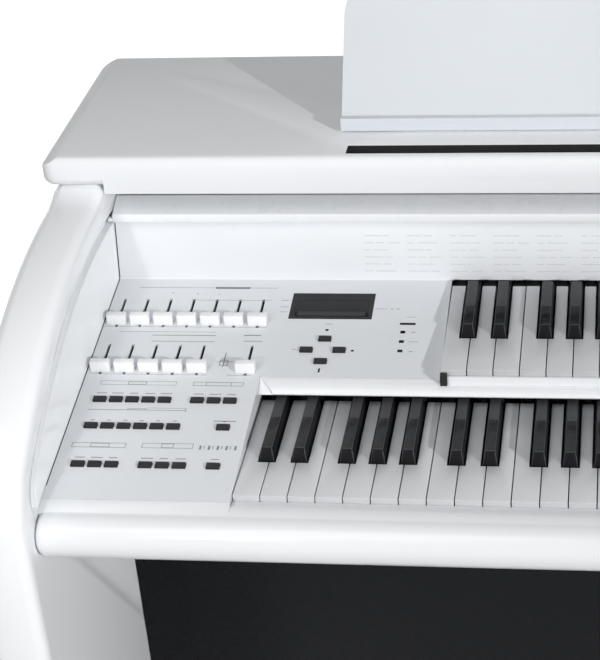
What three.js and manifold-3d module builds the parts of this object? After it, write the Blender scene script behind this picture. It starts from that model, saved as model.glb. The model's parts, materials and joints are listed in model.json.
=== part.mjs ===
// Two-manual electronic organ: cabinet with curved cheeks and a roll-top cover, sloping control
// panel with slide controls and push buttons, folding music rest, short pedalboard and swell pedal.
// Millimetres, +X to the player's right, +Y to the back, +Z up. The group's origin is on the floor,
// under the middle of the cabinet. Inside the group y = 0 is the front of the lower manual's
// naturals and z = 0 is the plane of their tops.
import * as THREE from "three";
import { mergeVertices } from "three/addons/utils/BufferGeometryUtils.js";
import Module from "manifold-3d";

const wasm = await Module();
wasm.setup();

// Clearances
const FIT_GAP = 0.3;
const RUN_GAP = 0.6;
const JOIN = 0.5;
const OVERRUN = 5;
const HALF = 1 / 2;

// Cabinet
const KEY_PLANE_HEIGHT = 720;
const LEFT_BLOCK_WIDTH = 164.5;
const UPPER_MANUAL_CHEEK_GAP = 2.5;
const CHEEK_THICKNESS = 51;
const CABINET_FRONT_Y = -61;
const CABINET_BACK_Y = 540;
const BOARD_THICKNESS = 18;
const CHEEK_EDGE_RADIUS = 11;
const CHEEK_FILLET_RADIUS = 60;
const CHEEK_NECK_LENGTH = 34;
const EDGE_STEPS = 3;

// Track of the roll-top cover, an arc about the cover's pivot line
const TRACK_CENTRE_Y = 260.5;
const TRACK_CREST_Z = 108.7;
const TRACK_RADIUS = 493;
const TRACK_WIDTH = 12;
const TRACK_DEPTH = 7;
const TRACK_BACK_LEAD = THREE.MathUtils.degToRad(2.2);
const TRACK_FRONT_ANGLE = THREE.MathUtils.degToRad(33.5);
const TRACK_CURL_RADIUS = 30;
const TRACK_CURL_END_ANGLE = THREE.MathUtils.degToRad(100);
const CHEEK_OVER_TRACK = 24;

// Lid
const LID_TOP_Z = 176;
const LID_THICKNESS = 30;
const LID_FRONT_Y = 290;
const LID_BACK_Y = 546;
const LID_SIDE_OVERHANG = 9;
const LID_EDGE_RADIUS = 9;
const LID_CORNER_RADIUS = 14;
const LID_LIP_DEPTH = 7;
const LID_LIP_WIDTH = 16;
const LID_RECESS_HALF_LENGTH = 273;
const LID_RECESS_WIDTH = 18;
const LID_RECESS_DEPTH = 10;
const LID_RECESS_FROM_FRONT = 9.5;
const LID_END_BEVEL_LENGTH = 18.5;
const LID_END_BEVEL_DROP = 10;

// Manuals
const KEY_PITCH = 23.5;
const NATURALS_PER_MANUAL = 29;
const NATURALS_PER_OCTAVE = 7;
const NATURAL_GAP = 1;
const NATURAL_HEAD = 50;
const NATURAL_THICKNESS = 15;
const NATURAL_STEP_DOWN = 6;
const KEY_LENGTH = 222;
const KEY_PIVOT_FROM_BACK = 7;
const KEY_RAIL_LENGTH = 17;
const KEY_RAIL_THICKNESS = 1.3;
const LOWER_PLATE_LENGTH = 148.6;
const UPPER_PLATE_LENGTH = 137.9;
const SHARP_BASE_WIDTH = 14.4;
const SHARP_TOP_WIDTH = 9.4;
const SHARP_HEIGHT = 11;
const SHARP_CHAMFER = 1.5;
const SHARP_FRONT_LEAN = 5;
const SHARP_SIDE_GAP = 0.8;
const SHARP_STEM_WIDTH = 12;
const SHARP_STEM_TOP = 3.5;
const SHARP_STEM_BOTTOM = 13;
const SHARP_CAP_SHORTER = 8;
const SHARP_RAIL_FROM_BACK = 32;
const SHARP_RAIL_LENGTH = 12;
const SHARP_RAIL_BOTTOM = 4.5;
const SHARP_RAIL_HEIGHT = 6;
const UPPER_MANUAL_Y = 148.9;
const UPPER_MANUAL_Z = 34.2;
const UPPER_MANUAL_TILT = THREE.MathUtils.degToRad(3.58);
const SINGLE_KEY_NATURALS = 3;
// The sharp to the right of each natural of an octave stands off the line between the naturals.
const SHARP_OFFSETS = [-2.4, 2.8, null, -2.8, 0.4, 3.2, null];
const KEY_NAMES = ["c", "d", "e", "f", "g", "a", "b"];

// Key frames
const SHEET = 2;
const KEY_UNDER_CLEARANCE = 10.7;
const FRAME_FRONT_MARGIN = 4;
const FRAME_BACK_MARGIN = 14;
const FULCRUM_WIDTH = 4;
const UPPER_FRAME_CLEARANCE = 2.5;
const UPPER_FRAME_WALL_CLEARANCE = 12;

// Front rail and key bed
const RAIL_BULL_RADIUS = 20;
const RAIL_FRONT_Y = -44.5;
const RAIL_TOP_Z = -5.5;
const RAIL_END_RADIUS = 8;
const RAIL_WEDGE_FRONT_Y = -21;
const BED_BOTTOM_Z = -46;

// Control panel
const PANEL_SLOPE = THREE.MathUtils.degToRad(8.24);
const PANEL_THICKNESS = 3;
const PANEL_FRONT_V = -8;
const PANEL_STEP_V = 154.8;
const PANEL_BACK_V = 300;
const PANEL_SIDE_GAP = 1.5;
const PANEL_WALL = 2.2;
const UPPER_SIDE_GAP = 2;

// Slip above the lower manual and under the front of the upper manual
const SLIP_FRONT_Y = 135;
const SLIP_EDGE_Z = 15;
const SLIP_BOTTOM_Z = 13.2;
const SLIP_ROUND = 3;
const SLIP_MITRE = 14;
const SLIP_BLADE = 2.4;
const SLIP_BLADE_DROP = 5.7;
const SLIP_BLADE_INSET = 6.5;

// Fascia
const FASCIA_FOOT_Y = 297.6;
const FASCIA_FOOT_Z = 43;
const FASCIA_LEAN = THREE.MathUtils.degToRad(10);
const FASCIA_HEIGHT = 58.2;
const FASCIA_THICKNESS = 3;

// Slide controls
const SLIDER_FIRST_FROM_CHEEK = 13.6;
const SLIDER_LAST_FROM_KEYS = 14.7;
const SLIDER_ROW_V = [227.6, 158.2];
const SLIDER_ROW_PLACES = [[0, 1, 2, 3, 4, 5, 6], [0, 1, 2, 3, 4, 6]];
const SLIDER_TRAVEL = 30;
const SLIDER_KNOB_WIDTH = 18;
const SLIDER_KNOB_DEPTH = 8.6;
const SLIDER_KNOB_HEIGHT = 10.4;
const SLIDER_KNOB_LEAN = 1.4;
const SLIDER_SLOT_WIDTH = 2.8;
const SLIDER_SLOT_LEAD = 2.6;
const SLIDER_STEM_WIDTH = 1.8;
const SLIDER_STEM_DEPTH = 4.6;
const SLIDER_STEM_DROP = 11;
const SLIDER_SLOT_TAIL = 5.4;

// Push buttons
const BUTTON_FIRST_FROM_CHEEK = 22;
const BUTTON_LAST_FROM_KEYS = 22.5;
const BUTTON_PLACES = 9;
const BUTTON_WIDTH = 11.8;
const BUTTON_DEPTH = 6.4;
const BUTTON_RISE = 2;
const BUTTON_ROW_V = [120.2, 84.6, 34.8];
const BUTTON_ROW_PLACES = [[0, 1, 2, 3, 4, 6, 7, 8], [0, 1, 2, 3, 4, 5, 8], [0, 1, 2, 4, 5, 6, 8]];
const BUTTON_ROW_NAMES = ["button_row_a", "button_row_b", "button_row_c"];
const BUTTON_STRIP_THICKNESS = 1.6;
const BUTTON_STRIP_MARGIN = 2;
const CURSOR_FROM_KEYS = 112.5;
const CURSOR_V = 192.8;
const CURSOR_REACH_X = 15.4;
const CURSOR_REACH_V = 16.2;
const CURSOR_ARM = 4;

// Display
const DISPLAY_FROM_KEYS = 111.9;
const DISPLAY_V = 259;
const DISPLAY_WIDTH = 79.6;
const DISPLAY_DEPTH = 39.8;
const DISPLAY_RIM = 1;

// Main board
const BOARD_DROP = 13;
const PCB_THICKNESS = 1.6;
const PCB_MARGIN = 8;
const PCB_POST_RADIUS = 3;
const PCB_POST_SIDES = 8;

// Power switch on the right-hand block
const SWITCH_FROM_CHEEK = 82.5;
const SWITCH_V = 40;
const SWITCH_WIDTH = 14;
const SWITCH_LENGTH = 22;
const SWITCH_DEPTH = 9;
const SWITCH_RISE = 2.4;
const SWITCH_TILT = THREE.MathUtils.degToRad(7);
const SWITCH_GAP = 0.6;

// Roll-top cover
const COVER_FROM_BACK_PANEL = 7.4;
const COVER_TRAVEL_LENGTH = 348.5;
const LEAF_THICKNESS = 6;
const LEAF_TONGUE = 5;
const LEAF_TONGUE_LEAD = THREE.MathUtils.degToRad(4.5);
const LEAF_SIDE_GAP = 0.7;
const LEAF_OVERLAP_ANGLE = THREE.MathUtils.degToRad(1.4);
const REAR_LEAF_GAP = 0.6;
const REAR_LEAF_THICKNESS = 4;
const BAR_FRONT_Y = 301;
const BAR_BACK_Y = 308;
const BAR_BOTTOM_Z = 103;
const BAR_TOP_Z = 112;
const BAR_ROUND = 2.5;
const LEAF_STEPS = 14;

// Music rest
const REST_HALF_WIDTH = 283;
const REST_HEIGHT = 151;
const REST_THICKNESS = 7;
const REST_CORNER_RADIUS = 52;
const REST_TAPER = 3;
const REST_LEAN = THREE.MathUtils.degToRad(25);
const REST_PIVOT_Y = 357;
const REST_PIVOT_ABOVE_LID = 3;
const REST_LEDGE_FRONT_Y = 345;
const REST_LEDGE_HEIGHT = 12.4;
const REST_LEDGE_ABOVE_LID = 2;
const REST_SEAT_X = 215;
const REST_SEAT_WIDTH = 40;
const REST_SEAT_LENGTH = 18;
const REST_SEAT_LEAD = 4.4;

// Lower case
const BACK_PANEL_INSET = 4;
const BACK_PANEL_THICKNESS = 8;
const KNEE_PANEL_Y = 208;
const KNEE_PANEL_THICKNESS = 12;
const SHELF_ABOVE_FLOOR = 64;
const SHELF_FRONT_Y = 196;

// Loudspeakers
const SPEAKER_FROM_CHEEK = 176.5;
const SPEAKER_BELOW_BED = 204;
const SPEAKER_RADIUS = 98;
const SPEAKER_DEPTH = 78;
const SPEAKER_FLANGE = 5;
const SPEAKER_MAGNET_RADIUS = 44;
const SPEAKER_MAGNET_DEPTH = 26;
const SPEAKER_SIDES = 24;

// Amplifier, power supply and mains inlet
const AMP_FROM_CHEEK = 256.5;
const AMP_WIDTH = 260;
const AMP_DEPTH = 150;
const AMP_HEIGHT = 74;
const AMP_FIN_COUNT = 12;
const AMP_FIN_HEIGHT = 22;
const AMP_FIN_THICKNESS = 3;
const AMP_FIN_LENGTH = 60;
const INLET_FROM_CHEEK = 176.5;
const INLET_WIDTH = 28;
const INLET_HEIGHT = 20;
const INLET_DEPTH = 12;
const INLET_WALL = 2.5;
const AMP_BACK_GAP = 4;

// Pedalboard
const PEDAL_COUNT = 8;
const PEDAL_PITCH = 60;
const PEDAL_FIRST_FROM_CHEEK = 176.5;
const PEDAL_WIDTH = 24;
const PEDAL_THICKNESS = 16;
const PEDAL_FRONT_Y = -40;
const PEDAL_BACK_Y = 452;
const PEDAL_TOP_ABOVE_FLOOR = 52;
const PEDAL_TRAVEL = 14;
const PEDAL_NOSE_ROUND = 6;
const PEDAL_RAIL_LENGTH = 22;
const SHARP_PEDAL_FRONT_Y = 96;
const SHARP_PEDAL_BLOCK_LENGTH = 92;
const SHARP_PEDAL_BLOCK_HEIGHT = 27;
const SHARP_PEDAL_SLOPE = 12;
const SHARP_PEDAL_RAIL_LIFT = 1;
const PEDAL_SILL_LENGTH = 22;
const PEDAL_SILL_Y = 216;
const PEDAL_FRAME_CHEEK = 14;
const PEDAL_FRAME_FRONT_Y = 196;
const PEDAL_FRAME_BACK_Y = 476;
const PEDAL_FRAME_MARGIN = 16;
const PEDAL_FRAME_HEIGHT = 40;
const PEDAL_HINGE_GAP = 0.8;

// Swell pedal
const SWELL_FROM_CHEEK = 236.5;
const SWELL_WIDTH = 92;
const SWELL_LENGTH = 230;
const SWELL_THICKNESS = 14;
const SWELL_TILT = THREE.MathUtils.degToRad(30);
const SWELL_PIVOT_Y = 60;
const SWELL_PIVOT_ABOVE_FLOOR = 62;
const SWELL_HEEL_SHARE = 0.42;
const SWELL_RIB_COUNT = 9;
const SWELL_RIB_HEIGHT = 2;
const SWELL_RIB_WIDTH = 6;
const SWELL_BRACKET_THICKNESS = 6;
const SWELL_BRACKET_FRONT_Y = -30;
const SWELL_LUG_LENGTH = 26;
const SWELL_LUG_RISE = 10;

// Worked out once from the sizes above
const MANUAL_WIDTH = NATURALS_PER_MANUAL * KEY_PITCH;
const RIGHT_BLOCK_WIDTH = NATURALS_PER_OCTAVE * KEY_PITCH + UPPER_MANUAL_CHEEK_GAP;
const INNER_HALF_WIDTH = (LEFT_BLOCK_WIDTH + MANUAL_WIDTH + RIGHT_BLOCK_WIDTH) * HALF;
const LOWER_MANUAL_START_X = -INNER_HALF_WIDTH + LEFT_BLOCK_WIDTH;
const TRACK_CENTRE_Z = TRACK_CREST_Z - TRACK_RADIUS;
const LEAF_INNER_RADIUS = TRACK_RADIUS - TRACK_WIDTH * HALF + RUN_GAP;
const KEY_PIVOT_FROM_FRONT = KEY_LENGTH - KEY_PIVOT_FROM_BACK;
const BACK_PANEL_Y = CABINET_BACK_Y - BACK_PANEL_INSET - BACK_PANEL_THICKNESS;
const COVER_REACH = BACK_PANEL_Y - COVER_FROM_BACK_PANEL - TRACK_CENTRE_Y;
const COVER_BACK_ANGLE = Math.asin(COVER_REACH / (LEAF_INNER_RADIUS + LEAF_THICKNESS));
const TRACK_BACK_ANGLE = COVER_BACK_ANGLE + TRACK_BACK_LEAD;
const COVER_TRAVEL = COVER_TRAVEL_LENGTH / TRACK_RADIUS;
const LID_UNDER_Z = LID_TOP_Z - LID_THICKNESS;
const CHEEK_TOP_RADIUS = TRACK_RADIUS + TRACK_WIDTH * HALF + CHEEK_OVER_TRACK;
const OUTER_HALF_WIDTH = INNER_HALF_WIDTH + CHEEK_THICKNESS;
const FLOOR_Z = -KEY_PLANE_HEIGHT;
const SHELF_UNDER_Z = FLOOR_Z + SHELF_ABOVE_FLOOR;
const SPEAKER_Z = BED_BOTTOM_Z - SPEAKER_BELOW_BED;
const PEDAL_TOP_Z = FLOOR_Z + PEDAL_TOP_ABOVE_FLOOR;
const SWELL_PIVOT_Z = FLOOR_Z + SWELL_PIVOT_ABOVE_FLOOR;
const SPAN_HALF = INNER_HALF_WIDTH - FIT_GAP;
const LOWER_MANUAL_END_X = LOWER_MANUAL_START_X + MANUAL_WIDTH;
const UPPER_MANUAL_START_X = LOWER_MANUAL_START_X + NATURALS_PER_OCTAVE * KEY_PITCH;
const UPPER_MANUAL_END_X = UPPER_MANUAL_START_X + MANUAL_WIDTH;
const SLIDER_FIRST_X = -INNER_HALF_WIDTH + SLIDER_FIRST_FROM_CHEEK;
const SLIDER_SPAN = LEFT_BLOCK_WIDTH - SLIDER_FIRST_FROM_CHEEK - SLIDER_LAST_FROM_KEYS;
const SLIDER_PITCH = SLIDER_SPAN / (SLIDER_ROW_PLACES[0].length - 1);
const BUTTON_FIRST_X = -INNER_HALF_WIDTH + BUTTON_FIRST_FROM_CHEEK;
const BUTTON_SPAN = LEFT_BLOCK_WIDTH - BUTTON_FIRST_FROM_CHEEK - BUTTON_LAST_FROM_KEYS;
const BUTTON_PITCH = BUTTON_SPAN / (BUTTON_PLACES - 1);
const CURSOR_X = UPPER_MANUAL_START_X - CURSOR_FROM_KEYS;
const DISPLAY_X = UPPER_MANUAL_START_X - DISPLAY_FROM_KEYS;
const SWITCH_X = INNER_HALF_WIDTH - SWITCH_FROM_CHEEK;
const SPEAKER_X = INNER_HALF_WIDTH - SPEAKER_FROM_CHEEK;
const AMP_X = INNER_HALF_WIDTH - AMP_FROM_CHEEK;
const INLET_X = INNER_HALF_WIDTH - INLET_FROM_CHEEK;
const SWELL_X = INNER_HALF_WIDTH - SWELL_FROM_CHEEK;
const PEDAL_FIRST_X = -INNER_HALF_WIDTH + PEDAL_FIRST_FROM_CHEEK;
const BED_TOP_Z = BED_BOTTOM_Z + BOARD_THICKNESS;
const PANEL_TAN = Math.tan(PANEL_SLOPE);
const PANEL_LEFT_WALL_X = LOWER_MANUAL_START_X - PANEL_SIDE_GAP + NATURAL_GAP;
const PANEL_RIGHT_WALL_X = LOWER_MANUAL_END_X + PANEL_SIDE_GAP - NATURAL_GAP;
const SLIP_BLADE_Y = UPPER_MANUAL_Y - RUN_GAP;
const LEAF_FRONT_ANGLE = Math.asin((BAR_BACK_Y - TRACK_CENTRE_Y) / LEAF_INNER_RADIUS);
const LID_FRONT_TOP_Y = LID_FRONT_Y + LID_RECESS_FROM_FRONT;
const SHELF_TOP_Z = SHELF_UNDER_Z + BOARD_THICKNESS;
const PEDAL_BED_Z = PEDAL_TOP_Z - PEDAL_THICKNESS;

// Materials
const finish = (color, roughness, metalness) =>
  new THREE.MeshStandardMaterial({ color, roughness, metalness });
const FINISH = {
  lacquer: finish(0xeef0f2, 0.12, 0),
  panel: finish(0xd9dcde, 0.4, 0),
  natural: finish(0xd4d5d4, 0.3, 0),
  sharp: finish(0x1c1c1e, 0.4, 0),
  button: finish(0x222225, 0.5, 0),
  knob: finish(0xf4f5f6, 0.3, 0),
  screen: finish(0x16181b, 0.15, 0),
  cloth: finish(0x1a1b1d, 0.9, 0),
  board: finish(0x2a2a2c, 0.7, 0),
  steel: finish(0x9a9da0, 0.4, 0.9),
  pcb: finish(0x2f6b45, 0.5, 0),
  rubber: finish(0x202020, 0.9, 0),
  pedal: finish(0x2b2623, 0.4, 0),
};

// Frames: the whole organ, the sloping panel and the tilted upper manual
const organ = new THREE.Group();
organ.position.set(0, -(CABINET_FRONT_Y + LID_BACK_Y) * HALF, KEY_PLANE_HEIGHT);
const panelFrame = new THREE.Group();
panelFrame.rotation.x = PANEL_SLOPE;
organ.add(panelFrame);
const lowerManual = new THREE.Group();
lowerManual.position.x = LOWER_MANUAL_START_X;
organ.add(lowerManual);
const upperManual = new THREE.Group();
upperManual.position.set(UPPER_MANUAL_START_X, UPPER_MANUAL_Y, UPPER_MANUAL_Z);
upperManual.rotation.x = UPPER_MANUAL_TILT;
organ.add(upperManual);

function place(name, geometry, material, parent = organ) {
  const mesh = new THREE.Mesh(geometry, material);
  mesh.name = name;
  parent.add(mesh);
  return mesh;
}

// Solids for cutting and joining
function toSolid(geometry) {
  const bare = geometry.clone();
  bare.deleteAttribute("normal");
  bare.deleteAttribute("uv");
  const merged = mergeVertices(bare, 1e-4);
  return new wasm.Manifold(new wasm.Mesh({
    numProp: 3,
    vertProperties: Float32Array.from(merged.attributes.position.array),
    triVerts: Uint32Array.from(merged.index.array),
  }));
}

function toGeometry(solid) {
  const mesh = solid.getMesh();
  const geometry = new THREE.BufferGeometry();
  geometry.setAttribute("position", new THREE.BufferAttribute(mesh.vertProperties, 3));
  geometry.setIndex(new THREE.BufferAttribute(mesh.triVerts, 1));
  geometry.computeVertexNormals();
  return geometry;
}

const join = (geometries) =>
  toGeometry(geometries.map(toSolid).reduce((whole, piece) => whole.add(piece)));
const cut = (geometry, tools) =>
  toGeometry(tools.map(toSolid).reduce((whole, tool) => whole.subtract(tool), toSolid(geometry)));

// A box between two corners
function boxBetween(x0, x1, y0, y1, z0, z1) {
  const box = new THREE.BoxGeometry(x1 - x0, y1 - y0, z1 - z0);
  return box.translate((x0 + x1) * HALF, (y0 + y1) * HALF, (z0 + z1) * HALF);
}

// An outline from corner points
const outline = (points) => new THREE.Shape(points.map(([x, y]) => new THREE.Vector2(x, y)));

// An outline in plan, from one height to another
function upright(shape, z0, z1, curveSegments = 6) {
  const solid = new THREE.ExtrudeGeometry(shape, { depth: z1 - z0, bevelEnabled: false, curveSegments });
  return solid.translate(0, 0, z0);
}

// A side outline, whose x is the depth y and whose y is the height z, from one x to another
const SIDEWAYS = new THREE.Matrix4().makeBasis(
  new THREE.Vector3(0, 1, 0),
  new THREE.Vector3(0, 0, 1),
  new THREE.Vector3(1, 0, 0),
);
function across(shape, x0, x1, curveSegments = 6) {
  const solid = new THREE.ExtrudeGeometry(shape, { depth: x1 - x0, bevelEnabled: false, curveSegments });
  return solid.applyMatrix4(SIDEWAYS).translate(x0, 0, 0);
}

// The same with its end edges rounded
function roundedAcross(shape, x0, x1, radius, curveSegments = 6) {
  const solid = new THREE.ExtrudeGeometry(shape, {
    depth: x1 - x0 - radius * 2,
    bevelThickness: radius,
    bevelSize: radius,
    bevelOffset: -radius,
    bevelSegments: EDGE_STEPS,
    curveSegments,
  });
  return solid.applyMatrix4(SIDEWAYS).translate(x0 + radius, 0, 0);
}

// A rounded rectangle, given by its corners
function roundedRectangle(x0, x1, y0, y1, radius) {
  const shape = new THREE.Shape();
  shape.moveTo(x0 + radius, y0);
  shape.lineTo(x1 - radius, y0);
  shape.quadraticCurveTo(x1, y0, x1, y0 + radius);
  shape.lineTo(x1, y1 - radius);
  shape.quadraticCurveTo(x1, y1, x1 - radius, y1);
  shape.lineTo(x0 + radius, y1);
  shape.quadraticCurveTo(x0, y1, x0, y1 - radius);
  shape.lineTo(x0, y0 + radius);
  shape.quadraticCurveTo(x0, y0, x0 + radius, y0);
  return shape;
}

// A band of a ring in side view. Angles run from straight up, positive towards the back.
const upFrom = (angle) => Math.PI * HALF - angle;
function ringBand(centreY, centreZ, inner, outer, backAngle, frontAngle) {
  const shape = new THREE.Shape();
  shape.absarc(centreY, centreZ, outer, upFrom(backAngle), upFrom(frontAngle), false);
  shape.absarc(centreY, centreZ, inner, upFrom(frontAngle), upFrom(backAngle), true);
  return shape;
}

// A lofted solid through rings with the same number of points, closed at both ends
function loft(rings) {
  const count = rings[0].length;
  const positions = rings.flat(2);
  const faces = [];
  for (let k = 0; k + 1 < rings.length; k += 1) {
    for (let i = 0; i < count; i += 1) {
      const j = (i + 1) % count;
      const a = k * count + i;
      const b = k * count + j;
      faces.push(a, b, b + count, a, b + count, a + count);
    }
  }
  const last = (rings.length - 1) * count;
  for (let i = 1; i + 1 < count; i += 1) {
    faces.push(0, i + 1, i, last, last + i, last + i + 1);
  }
  const geometry = new THREE.BufferGeometry();
  geometry.setAttribute("position", new THREE.Float32BufferAttribute(positions, 3));
  geometry.setIndex(faces);
  geometry.computeVertexNormals();
  return geometry;
}

// Side panels: a leg with a curved cheek, one moulding, and the cover's track in its inner face
const filletReach = CHEEK_TOP_RADIUS - CHEEK_FILLET_RADIUS;
const filletY = CABINET_FRONT_Y + CHEEK_FILLET_RADIUS;
const filletAngle = Math.asin((TRACK_CENTRE_Y - filletY) / filletReach);
const filletZ = TRACK_CENTRE_Z + filletReach * Math.cos(filletAngle);
const neckY = LID_FRONT_Y - CHEEK_NECK_LENGTH;
const neckAngle = Math.asin((TRACK_CENTRE_Y - neckY) / CHEEK_TOP_RADIUS);
const neckZ = TRACK_CENTRE_Z + CHEEK_TOP_RADIUS * Math.cos(neckAngle);

function sideOutline() {
  const shape = new THREE.Shape();
  shape.moveTo(CABINET_FRONT_Y, FLOOR_Z);
  shape.lineTo(CABINET_BACK_Y, FLOOR_Z);
  shape.lineTo(CABINET_BACK_Y, LID_UNDER_Z - FIT_GAP);
  shape.lineTo(LID_FRONT_Y, LID_UNDER_Z - FIT_GAP);
  shape.quadraticCurveTo(LID_FRONT_Y - CHEEK_NECK_LENGTH * HALF, neckZ, neckY, neckZ);
  shape.absarc(
    TRACK_CENTRE_Y, TRACK_CENTRE_Z, CHEEK_TOP_RADIUS,
    upFrom(-neckAngle), upFrom(-filletAngle), false,
  );
  shape.absarc(filletY, filletZ, CHEEK_FILLET_RADIUS, upFrom(-filletAngle), Math.PI, false);
  return shape;
}

function trackTools(x0, x1) {
  const inner = TRACK_RADIUS - TRACK_WIDTH * HALF;
  const outer = TRACK_RADIUS + TRACK_WIDTH * HALF;
  const main = ringBand(TRACK_CENTRE_Y, TRACK_CENTRE_Z, inner, outer, TRACK_BACK_ANGLE, -TRACK_FRONT_ANGLE);
  const reach = TRACK_RADIUS - TRACK_CURL_RADIUS;
  const curlY = TRACK_CENTRE_Y - reach * Math.sin(TRACK_FRONT_ANGLE);
  const curlZ = TRACK_CENTRE_Z + reach * Math.cos(TRACK_FRONT_ANGLE);
  const curlInner = TRACK_CURL_RADIUS - TRACK_WIDTH * HALF;
  const curlOuter = TRACK_CURL_RADIUS + TRACK_WIDTH * HALF;
  const curl = ringBand(curlY, curlZ, curlInner, curlOuter, -TRACK_FRONT_ANGLE, -TRACK_CURL_END_ANGLE);
  return [across(main, x0, x1, LEAF_STEPS), across(curl, x0, x1, LEAF_STEPS * HALF)];
}

function sidePanel() {
  const x1 = -INNER_HALF_WIDTH;
  const whole = roundedAcross(sideOutline(), -OUTER_HALF_WIDTH, x1, CHEEK_EDGE_RADIUS, LEAF_STEPS);
  return cut(whole, trackTools(x1 - TRACK_DEPTH, x1 + OVERRUN));
}

function mirrored(geometry) {
  const copy = geometry.clone().scale(-1, 1, 1);
  const index = Array.from(copy.index.array);
  for (let i = 0; i < index.length; i += 3) {
    [index[i], index[i + 1]] = [index[i + 1], index[i]];
  }
  copy.setIndex(index);
  copy.computeVertexNormals();
  return copy;
}

const leftSide = sidePanel();
place("side_panel_left", leftSide, FINISH.lacquer);
place("side_panel_right", mirrored(leftSide), FINISH.lacquer);

// Lid: a slab with rounded edges and bevelled ends, a lip between the cheeks, a recess along its
// front and two seats that carry the music rest's hinges
function lid() {
  const x1 = OUTER_HALF_WIDTH + LID_SIDE_OVERHANG;
  const plan = roundedRectangle(-x1, x1, LID_FRONT_Y, LID_BACK_Y, LID_CORNER_RADIUS);
  const slab = new THREE.ExtrudeGeometry(plan, {
    depth: LID_THICKNESS - LID_EDGE_RADIUS * 2,
    bevelThickness: LID_EDGE_RADIUS,
    bevelSize: LID_EDGE_RADIUS,
    bevelOffset: -LID_EDGE_RADIUS,
    bevelSegments: EDGE_STEPS,
    curveSegments: EDGE_STEPS,
  }).translate(0, 0, LID_UNDER_Z + LID_EDGE_RADIUS);
  const lip = boxBetween(
    -SPAN_HALF, SPAN_HALF,
    LID_FRONT_Y, LID_FRONT_Y + LID_LIP_WIDTH,
    LID_UNDER_Z - LID_LIP_DEPTH, LID_UNDER_Z + LID_EDGE_RADIUS,
  );
  const recess = boxBetween(
    -LID_RECESS_HALF_LENGTH, LID_RECESS_HALF_LENGTH,
    LID_FRONT_TOP_Y, LID_FRONT_TOP_Y + LID_RECESS_WIDTH,
    LID_TOP_Z - LID_RECESS_DEPTH, LID_TOP_Z + OVERRUN,
  );
  const seat = (x) => boxBetween(
    x - REST_SEAT_WIDTH * HALF, x + REST_SEAT_WIDTH * HALF,
    REST_PIVOT_Y - REST_SEAT_LEAD, REST_PIVOT_Y - REST_SEAT_LEAD + REST_SEAT_LENGTH,
    LID_TOP_Z - JOIN, LID_TOP_Z + REST_PIVOT_ABOVE_LID - FIT_GAP,
  );
  const bevel = (side) => upright(outline([
    [side * (x1 - LID_END_BEVEL_LENGTH), LID_TOP_Z],
    [side * x1, LID_TOP_Z - LID_END_BEVEL_DROP],
    [side * (x1 + OVERRUN), LID_TOP_Z - LID_END_BEVEL_DROP],
    [side * (x1 + OVERRUN), LID_TOP_Z + OVERRUN],
    [side * (x1 - LID_END_BEVEL_LENGTH), LID_TOP_Z + OVERRUN],
  ]), -LID_BACK_Y - OVERRUN, -LID_FRONT_Y + OVERRUN).rotateX(Math.PI * HALF);
  const seats = [seat(-REST_SEAT_X), seat(REST_SEAT_X)];
  return cut(join([slab, lip, ...seats]), [recess, bevel(-1), bevel(1)]);
}
place("top_lid", lid(), FINISH.lacquer);

// Front rail: a bullnose with a raised wedge in front of each end block
function frontRail() {
  const centreY = RAIL_FRONT_Y + RAIL_BULL_RADIUS;
  const centreZ = RAIL_TOP_Z - RAIL_BULL_RADIUS;
  const section = new THREE.Shape();
  section.moveTo(-RUN_GAP, RAIL_TOP_Z);
  section.lineTo(centreY, RAIL_TOP_Z);
  section.absarc(centreY, centreZ, RAIL_BULL_RADIUS, Math.PI * HALF, Math.PI * 3 * HALF, false);
  section.lineTo(-RUN_GAP, centreZ - RAIL_BULL_RADIUS);
  const rail = roundedAcross(section, -SPAN_HALF, SPAN_HALF, RAIL_END_RADIUS, EDGE_STEPS * 3);
  const backY = PANEL_FRONT_V * Math.cos(PANEL_SLOPE) - FIT_GAP;
  const wedge = outline([
    [backY, RAIL_TOP_Z - RAIL_END_RADIUS],
    [backY, backY * PANEL_TAN],
    [RAIL_WEDGE_FRONT_Y, RAIL_TOP_Z],
    [RAIL_WEDGE_FRONT_Y, RAIL_TOP_Z - RAIL_END_RADIUS],
  ]);
  return join([
    rail,
    across(wedge, -SPAN_HALF, PANEL_LEFT_WALL_X),
    across(wedge, PANEL_RIGHT_WALL_X, SPAN_HALF),
  ]);
}
place("front_rail", frontRail(), FINISH.lacquer);

// Key bed, back panel, knee panel and bottom shelf
place("key_bed", boxBetween(
  -SPAN_HALF, SPAN_HALF,
  -RUN_GAP + FIT_GAP, BACK_PANEL_Y - FIT_GAP,
  BED_BOTTOM_Z, BED_TOP_Z,
), FINISH.lacquer);

const inletZ = SHELF_TOP_Z + FIT_GAP + AMP_HEIGHT * HALF;
function backPanel() {
  const sheet = boxBetween(
    -SPAN_HALF, SPAN_HALF,
    BACK_PANEL_Y, BACK_PANEL_Y + BACK_PANEL_THICKNESS,
    SHELF_UNDER_Z, LID_UNDER_Z - FIT_GAP,
  );
  const hole = boxBetween(
    INLET_X - INLET_WIDTH * HALF - FIT_GAP, INLET_X + INLET_WIDTH * HALF + FIT_GAP,
    BACK_PANEL_Y - OVERRUN, BACK_PANEL_Y + BACK_PANEL_THICKNESS + OVERRUN,
    inletZ - INLET_HEIGHT * HALF - FIT_GAP, inletZ + INLET_HEIGHT * HALF + FIT_GAP,
  );
  return cut(sheet, [hole]);
}
place("back_panel", backPanel(), FINISH.lacquer);

place("knee_panel", boxBetween(
  -SPAN_HALF, SPAN_HALF,
  KNEE_PANEL_Y, KNEE_PANEL_Y + KNEE_PANEL_THICKNESS,
  SHELF_TOP_Z + FIT_GAP, BED_BOTTOM_Z - FIT_GAP,
), FINISH.cloth);

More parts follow.
